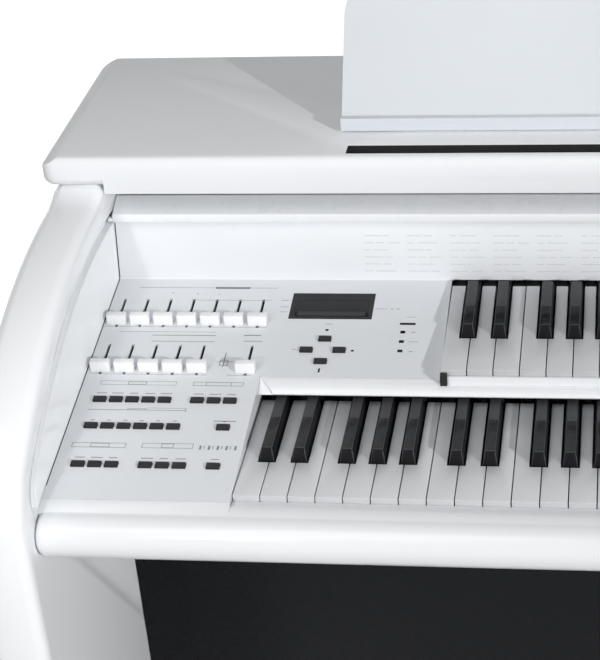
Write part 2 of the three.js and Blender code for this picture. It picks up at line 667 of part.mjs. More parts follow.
place("bottom_shelf", boxBetween(
  -SPAN_HALF, SPAN_HALF,
  SHELF_FRONT_Y, BACK_PANEL_Y - FIT_GAP,
  SHELF_UNDER_Z, SHELF_TOP_Z,
), FINISH.lacquer);

// Control panels: sloping plates with openings for the controls and a wall beside the lower manual
const openingTool = (x, v, width, depth) => boxBetween(
  x - width * HALF, x + width * HALF,
  v - depth * HALF, v + depth * HALF,
  -PANEL_THICKNESS - OVERRUN, OVERRUN,
);

const sliderX = (spot) => SLIDER_FIRST_X + spot * SLIDER_PITCH;
const buttonX = (spot) => BUTTON_FIRST_X + spot * BUTTON_PITCH;
const sliderSlotLength = SLIDER_SLOT_LEAD + SLIDER_KNOB_DEPTH + SLIDER_TRAVEL + SLIDER_SLOT_TAIL * HALF;
const sliderSlotV = (row) => SLIDER_ROW_V[row] - SLIDER_SLOT_LEAD + sliderSlotLength * HALF;
const cursorPlaces = [
  [CURSOR_X - CURSOR_REACH_X, CURSOR_V],
  [CURSOR_X + CURSOR_REACH_X, CURSOR_V],
  [CURSOR_X, CURSOR_V - CURSOR_REACH_V],
  [CURSOR_X, CURSOR_V + CURSOR_REACH_V],
];

function panelHoles() {
  const holes = [];
  SLIDER_ROW_PLACES.forEach((places, row) => {
    for (const k of places) {
      holes.push(openingTool(sliderX(k), sliderSlotV(row), SLIDER_SLOT_WIDTH, sliderSlotLength));
    }
  });
  const width = BUTTON_WIDTH + RUN_GAP;
  const depth = BUTTON_DEPTH + RUN_GAP;
  BUTTON_ROW_PLACES.forEach((places, row) => {
    for (const k of places) {
      holes.push(openingTool(buttonX(k), BUTTON_ROW_V[row], width, depth));
    }
  });
  for (const [x, v] of cursorPlaces) {
    holes.push(openingTool(x, v, width, depth));
  }
  holes.push(openingTool(DISPLAY_X, DISPLAY_V, DISPLAY_WIDTH, DISPLAY_DEPTH));
  return holes;
}

function panelWall(x0, x1, endY) {
  const startY = 0;
  const side = outline([
    [startY, BED_TOP_Z + FIT_GAP],
    [endY, BED_TOP_Z + FIT_GAP],
    [endY, endY * PANEL_TAN - PANEL_THICKNESS * HALF],
    [startY, startY * PANEL_TAN - PANEL_THICKNESS * HALF],
  ]);
  return across(side, x0, x1);
}

function leftPanel() {
  const rightX = UPPER_MANUAL_START_X - UPPER_SIDE_GAP + NATURAL_GAP;
  const plan = outline([
    [-SPAN_HALF, PANEL_FRONT_V],
    [PANEL_LEFT_WALL_X, PANEL_FRONT_V],
    [PANEL_LEFT_WALL_X, PANEL_STEP_V],
    [rightX, PANEL_STEP_V],
    [rightX, PANEL_BACK_V],
    [-SPAN_HALF, PANEL_BACK_V],
  ]);
  const plate = cut(upright(plan, -PANEL_THICKNESS, 0), panelHoles()).rotateX(PANEL_SLOPE);
  const endY = PANEL_STEP_V * Math.cos(PANEL_SLOPE);
  return join([plate, panelWall(PANEL_LEFT_WALL_X - PANEL_WALL, PANEL_LEFT_WALL_X, endY)]);
}
place("control_panel_left", leftPanel(), FINISH.panel);

const rightPanelBackY = SLIP_BLADE_Y - SLIP_BLADE - FIT_GAP;
function rightPanel() {
  const backV = rightPanelBackY / Math.cos(PANEL_SLOPE);
  const plan = outline([
    [PANEL_RIGHT_WALL_X, PANEL_FRONT_V],
    [SPAN_HALF, PANEL_FRONT_V],
    [SPAN_HALF, backV],
    [PANEL_RIGHT_WALL_X, backV],
  ]);
  const hole = openingTool(
    SWITCH_X, SWITCH_V,
    SWITCH_WIDTH + SWITCH_GAP * 2, SWITCH_LENGTH + SWITCH_GAP * 2,
  );
  const plate = cut(upright(plan, -PANEL_THICKNESS, 0), [hole]).rotateX(PANEL_SLOPE);
  return join([plate, panelWall(PANEL_RIGHT_WALL_X, PANEL_RIGHT_WALL_X + PANEL_WALL, rightPanelBackY)]);
}
place("control_panel_right", rightPanel(), FINISH.panel);

// Slip: a rounded nose over the back of the lower manual and a blade under the upper manual's fronts
function upperSlip() {
  const panelEndY = PANEL_STEP_V * Math.cos(PANEL_SLOPE) - FIT_GAP;
  const nose = (backY) => {
    const shape = new THREE.Shape();
    shape.moveTo(backY, SLIP_BOTTOM_Z);
    shape.lineTo(backY, backY * PANEL_TAN);
    shape.quadraticCurveTo(
      SLIP_FRONT_Y + SLIP_ROUND, backY * PANEL_TAN - SLIP_ROUND * HALF,
      SLIP_FRONT_Y, SLIP_EDGE_Z,
    );
    shape.lineTo(SLIP_FRONT_Y + SLIP_ROUND * HALF, SLIP_BOTTOM_Z);
    return shape;
  };
  const leftX = PANEL_LEFT_WALL_X + FIT_GAP;
  const rightX = PANEL_RIGHT_WALL_X - FIT_GAP;
  const stepX = UPPER_MANUAL_START_X - UPPER_SIDE_GAP + NATURAL_GAP;
  const bladeX = UPPER_MANUAL_START_X + SLIP_BLADE_INSET;
  const bladeTop = UPPER_MANUAL_Z - SLIP_BLADE_DROP;
  const bladeFrontY = SLIP_BLADE_Y - SLIP_BLADE;
  const whole = join([
    across(nose(panelEndY), leftX, stepX),
    across(nose(SLIP_BLADE_Y), stepX - JOIN, rightX),
    boxBetween(bladeX, rightX, bladeFrontY, SLIP_BLADE_Y, SLIP_EDGE_Z + SLIP_ROUND, bladeTop),
    boxBetween(bladeX, SPAN_HALF, bladeFrontY, SLIP_BLADE_Y, SLIP_BLADE_Y * PANEL_TAN + FIT_GAP, bladeTop),
  ]);
  const mitre = upright(outline([
    [leftX - OVERRUN, SLIP_FRONT_Y - OVERRUN],
    [leftX + SLIP_MITRE + OVERRUN * SLIP_MITRE / (panelEndY - SLIP_FRONT_Y), SLIP_FRONT_Y - OVERRUN],
    [leftX, panelEndY],
    [leftX - OVERRUN, panelEndY],
  ]), SLIP_BOTTOM_Z - OVERRUN, bladeTop + OVERRUN);
  const facet = across(outline([
    [SLIP_FRONT_Y - OVERRUN * 2, SLIP_BOTTOM_Z - OVERRUN * 2],
    [SLIP_BLADE_Y + OVERRUN * 2, SLIP_BOTTOM_Z - OVERRUN * 2],
    [panelEndY, panelEndY * PANEL_TAN],
    [SLIP_FRONT_Y, SLIP_BOTTOM_Z],
  ]), leftX - OVERRUN * 2, leftX + SLIP_MITRE * 2);
  return cut(whole, [cut(mitre, [facet])]);
}
place("upper_key_slip", upperSlip(), FINISH.panel);

// Fascia behind the upper manual
const fasciaBoard = boxBetween(-SPAN_HALF, SPAN_HALF, 0, FASCIA_THICKNESS, 0, FASCIA_HEIGHT);
fasciaBoard.rotateX(-FASCIA_LEAN).translate(0, FASCIA_FOOT_Y, FASCIA_FOOT_Z);
place("fascia", fasciaBoard, FINISH.panel);

// Display window in its opening, standing on a rim below the panel
function displayWindow() {
  const width = DISPLAY_WIDTH - FIT_GAP * 2;
  const depth = DISPLAY_DEPTH - FIT_GAP * 2;
  const at = (w, d, low, high) => boxBetween(
    DISPLAY_X - w * HALF, DISPLAY_X + w * HALF,
    DISPLAY_V - d * HALF, DISPLAY_V + d * HALF, low, high,
  );
  const rimTop = -PANEL_THICKNESS - FIT_GAP;
  const pane = at(width, depth, rimTop - JOIN, -FIT_GAP);
  const rim = at(width + DISPLAY_RIM * 4, depth + DISPLAY_RIM * 4, rimTop - PCB_THICKNESS, rimTop);
  return join([pane, rim]);
}
place("display_window", displayWindow(), FINISH.screen, panelFrame);

// Slide controls: a block on a flat stem that runs in a slot
function sliderKnob() {
  const w = SLIDER_KNOB_WIDTH * HALF;
  const side = (x) => [
    [x, 0, FIT_GAP],
    [x, SLIDER_KNOB_DEPTH, FIT_GAP],
    [x, SLIDER_KNOB_DEPTH - SLIDER_KNOB_LEAN * HALF, SLIDER_KNOB_HEIGHT],
    [x, SLIDER_KNOB_LEAN, SLIDER_KNOB_HEIGHT],
  ];
  const block = loft([side(w), side(w - SLIDER_KNOB_WIDTH)].map((ring) => ring.slice().reverse()));
  const stem = boxBetween(
    -SLIDER_STEM_WIDTH * HALF, SLIDER_STEM_WIDTH * HALF,
    (SLIDER_KNOB_DEPTH - SLIDER_STEM_DEPTH) * HALF, (SLIDER_KNOB_DEPTH + SLIDER_STEM_DEPTH) * HALF,
    -SLIDER_STEM_DROP, SLIDER_KNOB_HEIGHT * HALF,
  );
  return join([block, stem]);
}
const knob = sliderKnob();
let sliderNumber = 0;
SLIDER_ROW_PLACES.forEach((places, row) => {
  for (const k of places) {
    sliderNumber += 1;
    const mesh = place(`slide_control_${sliderNumber}`, knob, FINISH.knob, panelFrame);
    mesh.position.set(sliderX(k), SLIDER_ROW_V[row], 0);
  }
});

// Push buttons: the caps of a row on one springy strip below the panel
function buttonCap(x, v) {
  const w = BUTTON_WIDTH * HALF;
  const d = BUTTON_DEPTH * HALF;
  return boxBetween(x - w, x + w, v - d, v + d, -PANEL_THICKNESS - FIT_GAP - JOIN, BUTTON_RISE);
}
const stripTop = -PANEL_THICKNESS - FIT_GAP;
const stripBottom = stripTop - BUTTON_STRIP_THICKNESS;
BUTTON_ROW_PLACES.forEach((places, row) => {
  const v = BUTTON_ROW_V[row];
  const reach = BUTTON_WIDTH * HALF + BUTTON_STRIP_MARGIN;
  const depth = BUTTON_DEPTH * HALF + BUTTON_STRIP_MARGIN;
  const strip = boxBetween(
    buttonX(places[0]) - reach, buttonX(places[places.length - 1]) + reach,
    v - depth, v + depth, stripBottom, stripTop,
  );
  const caps = places.map((k) => buttonCap(buttonX(k), v));
  place(BUTTON_ROW_NAMES[row], join([strip, ...caps]), FINISH.button, panelFrame);
});

function cursorButtons() {
  const arm = CURSOR_ARM * HALF;
  const bar = (reachX, reachV) => boxBetween(
    CURSOR_X - reachX, CURSOR_X + reachX,
    CURSOR_V - reachV, CURSOR_V + reachV, stripBottom, stripTop,
  );
  const bars = [bar(CURSOR_REACH_X, arm), bar(arm, CURSOR_REACH_V)];
  const w = BUTTON_WIDTH * HALF + BUTTON_STRIP_MARGIN * HALF;
  const d = BUTTON_DEPTH * HALF + BUTTON_STRIP_MARGIN * HALF;
  const pads = cursorPlaces.map(([x, v]) =>
    boxBetween(x - w, x + w, v - d, v + d, stripBottom, stripTop));
  return join([...bars, ...pads, ...cursorPlaces.map(([x, v]) => buttonCap(x, v))]);
}
place("cursor_buttons", cursorButtons(), FINISH.button, panelFrame);

// Power switch: a rocker on the right-hand block, in its off position
function powerSwitch() {
  const half = SWITCH_LENGTH * HALF;
  const pivot = -PANEL_THICKNESS * HALF;
  const side = outline([
    [-half, pivot],
    [0, -SWITCH_DEPTH],
    [half, pivot],
    [half, SWITCH_RISE],
    [0, SWITCH_RISE * HALF],
    [-half, SWITCH_RISE],
  ]);
  return across(side, -SWITCH_WIDTH * HALF, SWITCH_WIDTH * HALF).translate(0, 0, -pivot);
}
const rocker = place("power_switch", powerSwitch(), FINISH.button, panelFrame);
rocker.position.set(SWITCH_X, SWITCH_V, -PANEL_THICKNESS * HALF);
rocker.rotation.x = SWITCH_TILT;

// Main board below the left panel, with posts that reach up to it
function mainBoard() {
  const top = -BOARD_DROP;
  const x0 = -SPAN_HALF + PCB_MARGIN;
  const wallX = PANEL_LEFT_WALL_X - PANEL_WALL - PCB_MARGIN;
  const rightX = UPPER_MANUAL_START_X - PCB_MARGIN;
  const stepV = PANEL_STEP_V + PCB_MARGIN;
  const plate = upright(outline([
    [x0, PCB_MARGIN],
    [wallX, PCB_MARGIN],
    [wallX, stepV],
    [rightX, stepV],
    [rightX, PANEL_BACK_V - PCB_MARGIN],
    [x0, PANEL_BACK_V - PCB_MARGIN],
  ]), top - PCB_THICKNESS, top);
  const postLength = BOARD_DROP - PANEL_THICKNESS - FIT_GAP;
  const post = new THREE.CylinderGeometry(
    PCB_POST_RADIUS, PCB_POST_RADIUS, postLength + JOIN, PCB_POST_SIDES,
  );
  post.rotateX(Math.PI * HALF);
  const inset = PCB_POST_RADIUS + FIT_GAP;
  const postV = PANEL_BACK_V - PCB_MARGIN - inset;
  const spots = [
    [x0 + inset, PCB_MARGIN + inset],
    [wallX - inset, PCB_MARGIN + inset],
    [x0 + inset, postV],
    [rightX - inset, postV],
  ];
  const posts = spots.map(([x, v]) => post.clone().translate(x, v, top + (postLength - JOIN) * HALF));
  return join([plate, ...posts]);
}
place("main_board", mainBoard(), FINISH.pcb, panelFrame);

// Keys. A natural has its head across the whole pitch and a narrower tail beside the sharps.
function naturalEdges(index) {
  const degree = index % NATURALS_PER_OCTAVE;
  const before = (degree + NATURALS_PER_OCTAVE - 1) % NATURALS_PER_OCTAVE;
  const start = index * KEY_PITCH + NATURAL_GAP * HALF;
  const end = (index + 1) * KEY_PITCH - NATURAL_GAP * HALF;
  const side = SHARP_BASE_WIDTH * HALF + SHARP_SIDE_GAP;
  const offsetLeft = index > 0 ? SHARP_OFFSETS[before] : null;
  const offsetRight = index < NATURALS_PER_MANUAL - 1 ? SHARP_OFFSETS[degree] : null;
  return {
    start,
    end,
    tailStart: offsetLeft === null ? start : index * KEY_PITCH + offsetLeft + side,
    tailEnd: offsetRight === null ? end : (index + 1) * KEY_PITCH + offsetRight - side,
  };
}

function naturalPlan(index, length) {
  const e = naturalEdges(index);
  const points = [[e.start, 0], [e.end, 0]];
  if (e.tailEnd < e.end) {
    points.push([e.end, NATURAL_HEAD], [e.tailEnd, NATURAL_HEAD]);
  }
  points.push([e.tailEnd, length], [e.tailStart, length]);
  if (e.tailStart > e.start) {
    points.push([e.tailStart, NATURAL_HEAD], [e.start, NATURAL_HEAD]);
  }
  return outline(points);
}

function naturalKey(index, plateLength) {
  return [
    upright(naturalPlan(index, plateLength), -NATURAL_STEP_DOWN - JOIN, 0),
    upright(naturalPlan(index, KEY_LENGTH), -NATURAL_THICKNESS, -NATURAL_STEP_DOWN),
  ];
}

const sharpCentre = (index) => (index + 1) * KEY_PITCH + SHARP_OFFSETS[index % NATURALS_PER_OCTAVE];

function sharpKey(index, plateLength) {
  const x = sharpCentre(index);
  const front = NATURAL_HEAD + SHARP_SIDE_GAP;
  const end = plateLength - SHARP_CAP_SHORTER;
  const low = SHARP_BASE_WIDTH * HALF;
  const high = SHARP_TOP_WIDTH * HALF;
  const foot = -NATURAL_STEP_DOWN;
  const ring = (vLow, vHigh, z, w) => [
    [x - low, vLow, foot],
    [x - w, vHigh, z],
    [x + w, vHigh, z],
    [x + low, vLow, foot],
  ];
  const cap = loft([
    ring(front, front + SHARP_FRONT_LEAN, SHARP_HEIGHT - SHARP_CHAMFER, high),
    ring(front + SHARP_FRONT_LEAN, front + SHARP_FRONT_LEAN + SHARP_CHAMFER, SHARP_HEIGHT, high),
    ring(end, end, SHARP_HEIGHT, high),
  ]);
  const stem = boxBetween(
    x - SHARP_STEM_WIDTH * HALF, x + SHARP_STEM_WIDTH * HALF,
    front + SHARP_FRONT_LEAN, KEY_LENGTH,
    -SHARP_STEM_BOTTOM, -SHARP_STEM_TOP,
  );
  return [cap, stem];
}

function manual(prefix, frame, plateLength) {
  for (let index = 0; index < SINGLE_KEY_NATURALS; index += 1) {
    const name = `${prefix}_key_${KEY_NAMES[index]}`;
    place(name, join(naturalKey(index, plateLength)), FINISH.natural, frame);
    if (SHARP_OFFSETS[index] !== null) {
      place(`${name}_sharp`, join(sharpKey(index, plateLength)), FINISH.sharp, frame);
    }
  }
  const naturals = [];
  const sharps = [];
  for (let index = SINGLE_KEY_NATURALS; index < NATURALS_PER_MANUAL; index += 1) {
    naturals.push(...naturalKey(index, plateLength));
    if (SHARP_OFFSETS[index % NATURALS_PER_OCTAVE] !== null && index < NATURALS_PER_MANUAL - 1) {
      sharps.push(...sharpKey(index, plateLength));
    }
  }
  naturals.push(boxBetween(
    naturalEdges(SINGLE_KEY_NATURALS).start, naturalEdges(NATURALS_PER_MANUAL - 1).end,
    KEY_LENGTH - KEY_RAIL_LENGTH, KEY_LENGTH,
    -NATURAL_THICKNESS, -NATURAL_THICKNESS + KEY_RAIL_THICKNESS,
  ));
  const half = SHARP_STEM_WIDTH * HALF;
  const lastSharp = NATURALS_PER_MANUAL - 3;
  sharps.push(boxBetween(
    sharpCentre(SINGLE_KEY_NATURALS) - half, sharpCentre(lastSharp) + half,
    KEY_LENGTH - SHARP_RAIL_FROM_BACK, KEY_LENGTH - SHARP_RAIL_FROM_BACK + SHARP_RAIL_LENGTH,
    -SHARP_RAIL_BOTTOM, -SHARP_RAIL_BOTTOM + SHARP_RAIL_HEIGHT,
  ));
  place(`${prefix}_naturals`, join(naturals), FINISH.natural, frame);
  place(`${prefix}_sharps`, join(sharps), FINISH.sharp, frame);
}
manual("lower", lowerManual, LOWER_PLATE_LENGTH);
manual("upper", upperManual, UPPER_PLATE_LENGTH);

// Key frames: folded sheet with a fulcrum under the keys' pivots
const frameFloor = -NATURAL_THICKNESS - KEY_UNDER_CLEARANCE;
function fulcrum(frontV, floor) {
  return outline([
    [frontV, floor - SHEET],
    [KEY_LENGTH + FRAME_BACK_MARGIN, floor - SHEET],
    [KEY_LENGTH + FRAME_BACK_MARGIN, floor],
    [KEY_PIVOT_FROM_FRONT + FULCRUM_WIDTH * HALF, floor],
    [KEY_PIVOT_FROM_FRONT + FULCRUM_WIDTH * HALF, -NATURAL_THICKNESS - FIT_GAP],
    [KEY_PIVOT_FROM_FRONT - FULCRUM_WIDTH * HALF, -NATURAL_THICKNESS - FIT_GAP],
    [KEY_PIVOT_FROM_FRONT - FULCRUM_WIDTH * HALF, floor],
    [frontV, floor],
  ]);
}
const lowerFrame = across(fulcrum(FRAME_FRONT_MARGIN, frameFloor), NATURAL_GAP, MANUAL_WIDTH - NATURAL_GAP);
place("lower_key_frame", lowerFrame, FINISH.steel, lowerManual);

function upperFrame() {
  const floorZ = UPPER_FRAME_CLEARANCE;
  const pivotY = UPPER_MANUAL_Y + KEY_PIVOT_FROM_FRONT * Math.cos(UPPER_MANUAL_TILT);
  const pivotZ = UPPER_MANUAL_Z + KEY_PIVOT_FROM_FRONT * Math.sin(UPPER_MANUAL_TILT);
  const seatZ = pivotZ - NATURAL_THICKNESS - FIT_GAP * 2;
  const frontY = UPPER_MANUAL_Y + FRAME_FRONT_MARGIN;
  const wallY = KEY_LENGTH + FRAME_BACK_MARGIN + UPPER_FRAME_WALL_CLEARANCE;
  const backY = pivotY + FULCRUM_WIDTH;
  const section = outline([
    [frontY, floorZ],
    [wallY, floorZ],
    [wallY, BED_TOP_Z + FIT_GAP],
    [wallY + SHEET, BED_TOP_Z + FIT_GAP],
    [wallY + SHEET, floorZ],
    [backY, floorZ],
    [backY, seatZ],
    [pivotY - FULCRUM_WIDTH * HALF, seatZ],
    [pivotY - FULCRUM_WIDTH * HALF, floorZ + SHEET],
    [frontY, floorZ + SHEET],
  ]);
  return across(section, UPPER_MANUAL_START_X + NATURAL_GAP, UPPER_MANUAL_END_X - NATURAL_GAP);
}
place("upper_key_frame", upperFrame(), FINISH.steel);

// Roll-top cover: a front bar on a curved leaf, and a second leaf that it draws out after it
function coverBar() {
  const bar = roundedRectangle(BAR_FRONT_Y, BAR_BACK_Y - FIT_GAP, BAR_BOTTOM_Z, BAR_TOP_Z, BAR_ROUND);
  const reach = INNER_HALF_WIDTH - LEAF_SIDE_GAP;
  return across(bar, -reach, reach, EDGE_STEPS);
}
place("cover_bar", coverBar(), FINISH.lacquer);

function frontLeaf() {
  const inner = LEAF_INNER_RADIUS;
  const outer = inner + LEAF_THICKNESS;
  const reach = INNER_HALF_WIDTH - LEAF_SIDE_GAP;
  const edge = reach + LEAF_TONGUE;
  const band = ringBand(TRACK_CENTRE_Y, TRACK_CENTRE_Z, inner, outer, COVER_BACK_ANGLE, LEAF_FRONT_ANGLE);
  const tongueY = TRACK_CENTRE_Y + inner * Math.sin(LEAF_FRONT_ANGLE + LEAF_TONGUE_LEAD);
  const corner = (x0, x1) => boxBetween(x0, x1, TRACK_CENTRE_Y, tongueY, 0, LID_TOP_Z);
  return cut(across(band, -edge, edge, LEAF_STEPS), [
    corner(-edge - OVERRUN, -reach),
    corner(reach, edge + OVERRUN),
  ]);
}
place("cover_front_leaf", frontLeaf(), FINISH.lacquer);

const coverSweep = COVER_BACK_ANGLE - COVER_TRAVEL;
const rearLeafArc = LEAF_FRONT_ANGLE - coverSweep + LEAF_OVERLAP_ANGLE;
const rearLeafInner = LEAF_INNER_RADIUS + LEAF_THICKNESS + REAR_LEAF_GAP;
const rearBand = ringBand(
  TRACK_CENTRE_Y, TRACK_CENTRE_Z, rearLeafInner, rearLeafInner + REAR_LEAF_THICKNESS,
  COVER_BACK_ANGLE, COVER_BACK_ANGLE - rearLeafArc,
);
const rearReach = INNER_HALF_WIDTH - LEAF_SIDE_GAP + LEAF_TONGUE;
place("cover_rear_leaf", across(rearBand, -rearReach, rearReach, LEAF_STEPS), FINISH.lacquer);

// Music rest: a board with round top corners and a ledge along its foot, leaning back
function musicRest() {
  const shape = new THREE.Shape();
  const w = REST_HALF_WIDTH;
  const top = w - REST_TAPER;
  const h = REST_HEIGHT;
  const r = REST_CORNER_RADIUS;
  shape.moveTo(-w, 0);
  shape.lineTo(w, 0);
  shape.lineTo(top, h - r);
  shape.absarc(top - r, h - r, r, 0, Math.PI * HALF, false);
  shape.lineTo(r - top, h);
  shape.absarc(r - top, h - r, r, Math.PI * HALF, Math.PI, false);
  const board = upright(shape, 0, REST_THICKNESS, EDGE_STEPS * 3);
  board.rotateX(Math.PI * HALF - REST_LEAN);
  const ledgeFoot = REST_LEDGE_ABOVE_LID - REST_PIVOT_ABOVE_LID;
  const ledge = boxBetween(
    -w, w,
    REST_LEDGE_FRONT_Y - REST_PIVOT_Y, -REST_THICKNESS * Math.cos(REST_LEAN) + JOIN * 2,
    ledgeFoot, ledgeFoot + REST_LEDGE_HEIGHT,
  );
  return join([board, ledge]);
}
const rest = place("music_rest", musicRest(), FINISH.lacquer);
rest.position.set(0, REST_PIVOT_Y, LID_TOP_Z + REST_PIVOT_ABOVE_LID);

// Loudspeakers behind the knee panel
function loudspeaker() {
  const profile = [
    [0, 0],
    [SPEAKER_RADIUS, 0],
    [SPEAKER_RADIUS, SPEAKER_FLANGE],
    [SPEAKER_RADIUS - SPEAKER_FLANGE * 2, SPEAKER_FLANGE],
    [SPEAKER_MAGNET_RADIUS, SPEAKER_DEPTH - SPEAKER_MAGNET_DEPTH],
    [SPEAKER_MAGNET_RADIUS, SPEAKER_DEPTH],
    [0, SPEAKER_DEPTH],
  ].map(([r, y]) => new THREE.Vector2(r, y));
  return new THREE.LatheGeometry(profile, SPEAKER_SIDES);
}
const speakerY = KNEE_PANEL_Y + KNEE_PANEL_THICKNESS + FIT_GAP;
for (const [name, side] of [["loudspeaker_left", -1], ["loudspeaker_right", 1]]) {
  place(name, loudspeaker(), FINISH.board).position.set(side * SPEAKER_X, speakerY, SPEAKER_Z);
}

// Amplifier and power supply on the bottom shelf, with cooling fins; its mains inlet stands in the
// back panel's hole
const ampBackY = BACK_PANEL_Y - AMP_BACK_GAP;
function inletBox(wall, y0, y1) {
  const w = INLET_WIDTH * HALF - wall;
  const h = INLET_HEIGHT * HALF - wall;
  return boxBetween(INLET_X - w, INLET_X + w, y0, y1, inletZ - h, inletZ + h);
}

function amplifier() {
  const z0 = SHELF_TOP_Z + FIT_GAP;
  const x0 = AMP_X - AMP_WIDTH * HALF;
  const frontY = ampBackY - AMP_DEPTH;
  const finZ = z0 + AMP_HEIGHT;
  const backY = BACK_PANEL_Y + BACK_PANEL_THICKNESS;
  const pieces = [
    boxBetween(x0, x0 + AMP_WIDTH, frontY, ampBackY, z0, finZ),
    inletBox(0, ampBackY - INLET_DEPTH, backY),
  ];
  const step = (AMP_WIDTH - AMP_FIN_THICKNESS) / (AMP_FIN_COUNT - 1);
  for (let k = 0; k < AMP_FIN_COUNT; k += 1) {
    const x = x0 + k * step;
    pieces.push(boxBetween(
      x, x + AMP_FIN_THICKNESS,
      frontY, frontY + AMP_FIN_LENGTH,
      finZ - JOIN, finZ + AMP_FIN_HEIGHT,
    ));
  }
  return cut(join(pieces), [inletBox(INLET_WALL, backY - INLET_DEPTH, backY + OVERRUN)]);
}
place("amplifier", amplifier(), FINISH.steel);

// Pedalboard: naturals and sharps on hinge rails, in a low frame
const pedalX = (index) => PEDAL_FIRST_X + index * PEDAL_PITCH;
function naturalPedals() {
  const section = new THREE.Shape();
  section.moveTo(PEDAL_FRONT_Y, PEDAL_BED_Z);
  section.lineTo(PEDAL_BACK_Y, PEDAL_BED_Z);
  section.lineTo(PEDAL_BACK_Y, PEDAL_TOP_Z);
  section.lineTo(PEDAL_FRONT_Y + PEDAL_NOSE_ROUND, PEDAL_TOP_Z);
  section.quadraticCurveTo(PEDAL_FRONT_Y, PEDAL_TOP_Z, PEDAL_FRONT_Y, PEDAL_TOP_Z - PEDAL_NOSE_ROUND);
  const pieces = [];
  for (let k = 0; k < PEDAL_COUNT; k += 1) {
    pieces.push(across(section, pedalX(k) - PEDAL_WIDTH * HALF, pedalX(k) + PEDAL_WIDTH * HALF, EDGE_STEPS));
  }
  pieces.push(boxBetween(
    pedalX(0) - PEDAL_WIDTH * HALF, pedalX(PEDAL_COUNT - 1) + PEDAL_WIDTH * HALF,
    PEDAL_BACK_Y - PEDAL_RAIL_LENGTH, PEDAL_BACK_Y,
    PEDAL_BED_Z, PEDAL_BED_Z + PEDAL_THICKNESS * HALF,
  ));
  return join(pieces);
}
place("natural_pedals", naturalPedals(), FINISH.pedal);

const sharpPedalRailZ = PEDAL_TOP_Z + SHARP_PEDAL_RAIL_LIFT;
function sharpPedals() {
  const top = PEDAL_TOP_Z + SHARP_PEDAL_BLOCK_HEIGHT;
  const blockEnd = SHARP_PEDAL_FRONT_Y + SHARP_PEDAL_BLOCK_LENGTH;
  const stepY = PEDAL_BACK_Y - PEDAL_RAIL_LENGTH - RUN_GAP;
  const stepZ = PEDAL_BED_Z + PEDAL_THICKNESS * HALF + RUN_GAP * 2;
  const section = outline([
    [SHARP_PEDAL_FRONT_Y, PEDAL_BED_Z],
    [stepY, PEDAL_BED_Z],
    [stepY, stepZ],
    [PEDAL_BACK_Y, stepZ],
    [PEDAL_BACK_Y, PEDAL_TOP_Z - JOIN],
    [blockEnd, PEDAL_TOP_Z - JOIN],
    [blockEnd, top],
    [SHARP_PEDAL_FRONT_Y + SHARP_PEDAL_SLOPE, top],
    [SHARP_PEDAL_FRONT_Y, top - SHARP_PEDAL_SLOPE],
  ]);
  const centres = [0, 1, 3, 4, 5].map((k) => pedalX(k) + PEDAL_PITCH * HALF);
  const half = PEDAL_WIDTH * HALF;
  const pieces = centres.map((x) => across(section, x - half, x + half));
  const railY = PEDAL_BACK_Y - PEDAL_RAIL_LENGTH * HALF;
  for (const x of centres) {
    pieces.push(boxBetween(
      x - half, x + half,
      railY, PEDAL_BACK_Y,
      PEDAL_TOP_Z - JOIN * 2, sharpPedalRailZ + JOIN,
    ));
  }
  pieces.push(boxBetween(
    centres[0] - half, centres[centres.length - 1] + half,
    railY, PEDAL_BACK_Y,
    sharpPedalRailZ, sharpPedalRailZ + PEDAL_THICKNESS * HALF * HALF,
  ));
  return join(pieces);
}
place("sharp_pedals", sharpPedals(), FINISH.pedal);

function pedalFrame() {
  const x0 = pedalX(0) - PEDAL_WIDTH * HALF - PEDAL_FRAME_MARGIN;
  const x1 = pedalX(PEDAL_COUNT - 1) + PEDAL_WIDTH * HALF + PEDAL_FRAME_MARGIN;
  const top = FLOOR_Z + PEDAL_FRAME_HEIGHT;
  const sillTop = PEDAL_BED_Z - PEDAL_TRAVEL;
  const hingeY = PEDAL_BACK_Y - PEDAL_RAIL_LENGTH;
  return join([
    boxBetween(x0, x0 + PEDAL_FRAME_CHEEK, PEDAL_FRAME_FRONT_Y, PEDAL_FRAME_BACK_Y, FLOOR_Z, top),
    boxBetween(x1 - PEDAL_FRAME_CHEEK, x1, PEDAL_FRAME_FRONT_Y, PEDAL_FRAME_BACK_Y, FLOOR_Z, top),
    boxBetween(x0, x1, PEDAL_SILL_Y, PEDAL_SILL_Y + PEDAL_SILL_LENGTH, FLOOR_Z, sillTop),
    boxBetween(x0, x1, hingeY, PEDAL_FRAME_BACK_Y, FLOOR_Z, PEDAL_BED_Z - PEDAL_HINGE_GAP),
    boxBetween(x0, x1, PEDAL_BACK_Y + RUN_GAP * 2, PEDAL_FRAME_BACK_Y, FLOOR_Z, top),
    boxBetween(x0, x0 + PEDAL_FRAME_CHEEK, hingeY, PEDAL_FRAME_BACK_Y, FLOOR_Z, SHELF_UNDER_Z - FIT_GAP),
    boxBetween(x1 - PEDAL_FRAME_CHEEK, x1, hingeY, PEDAL_FRAME_BACK_Y, FLOOR_Z, SHELF_UNDER_Z - FIT_GAP),
  ]);
}
place("pedal_frame", pedalFrame(), FINISH.board);

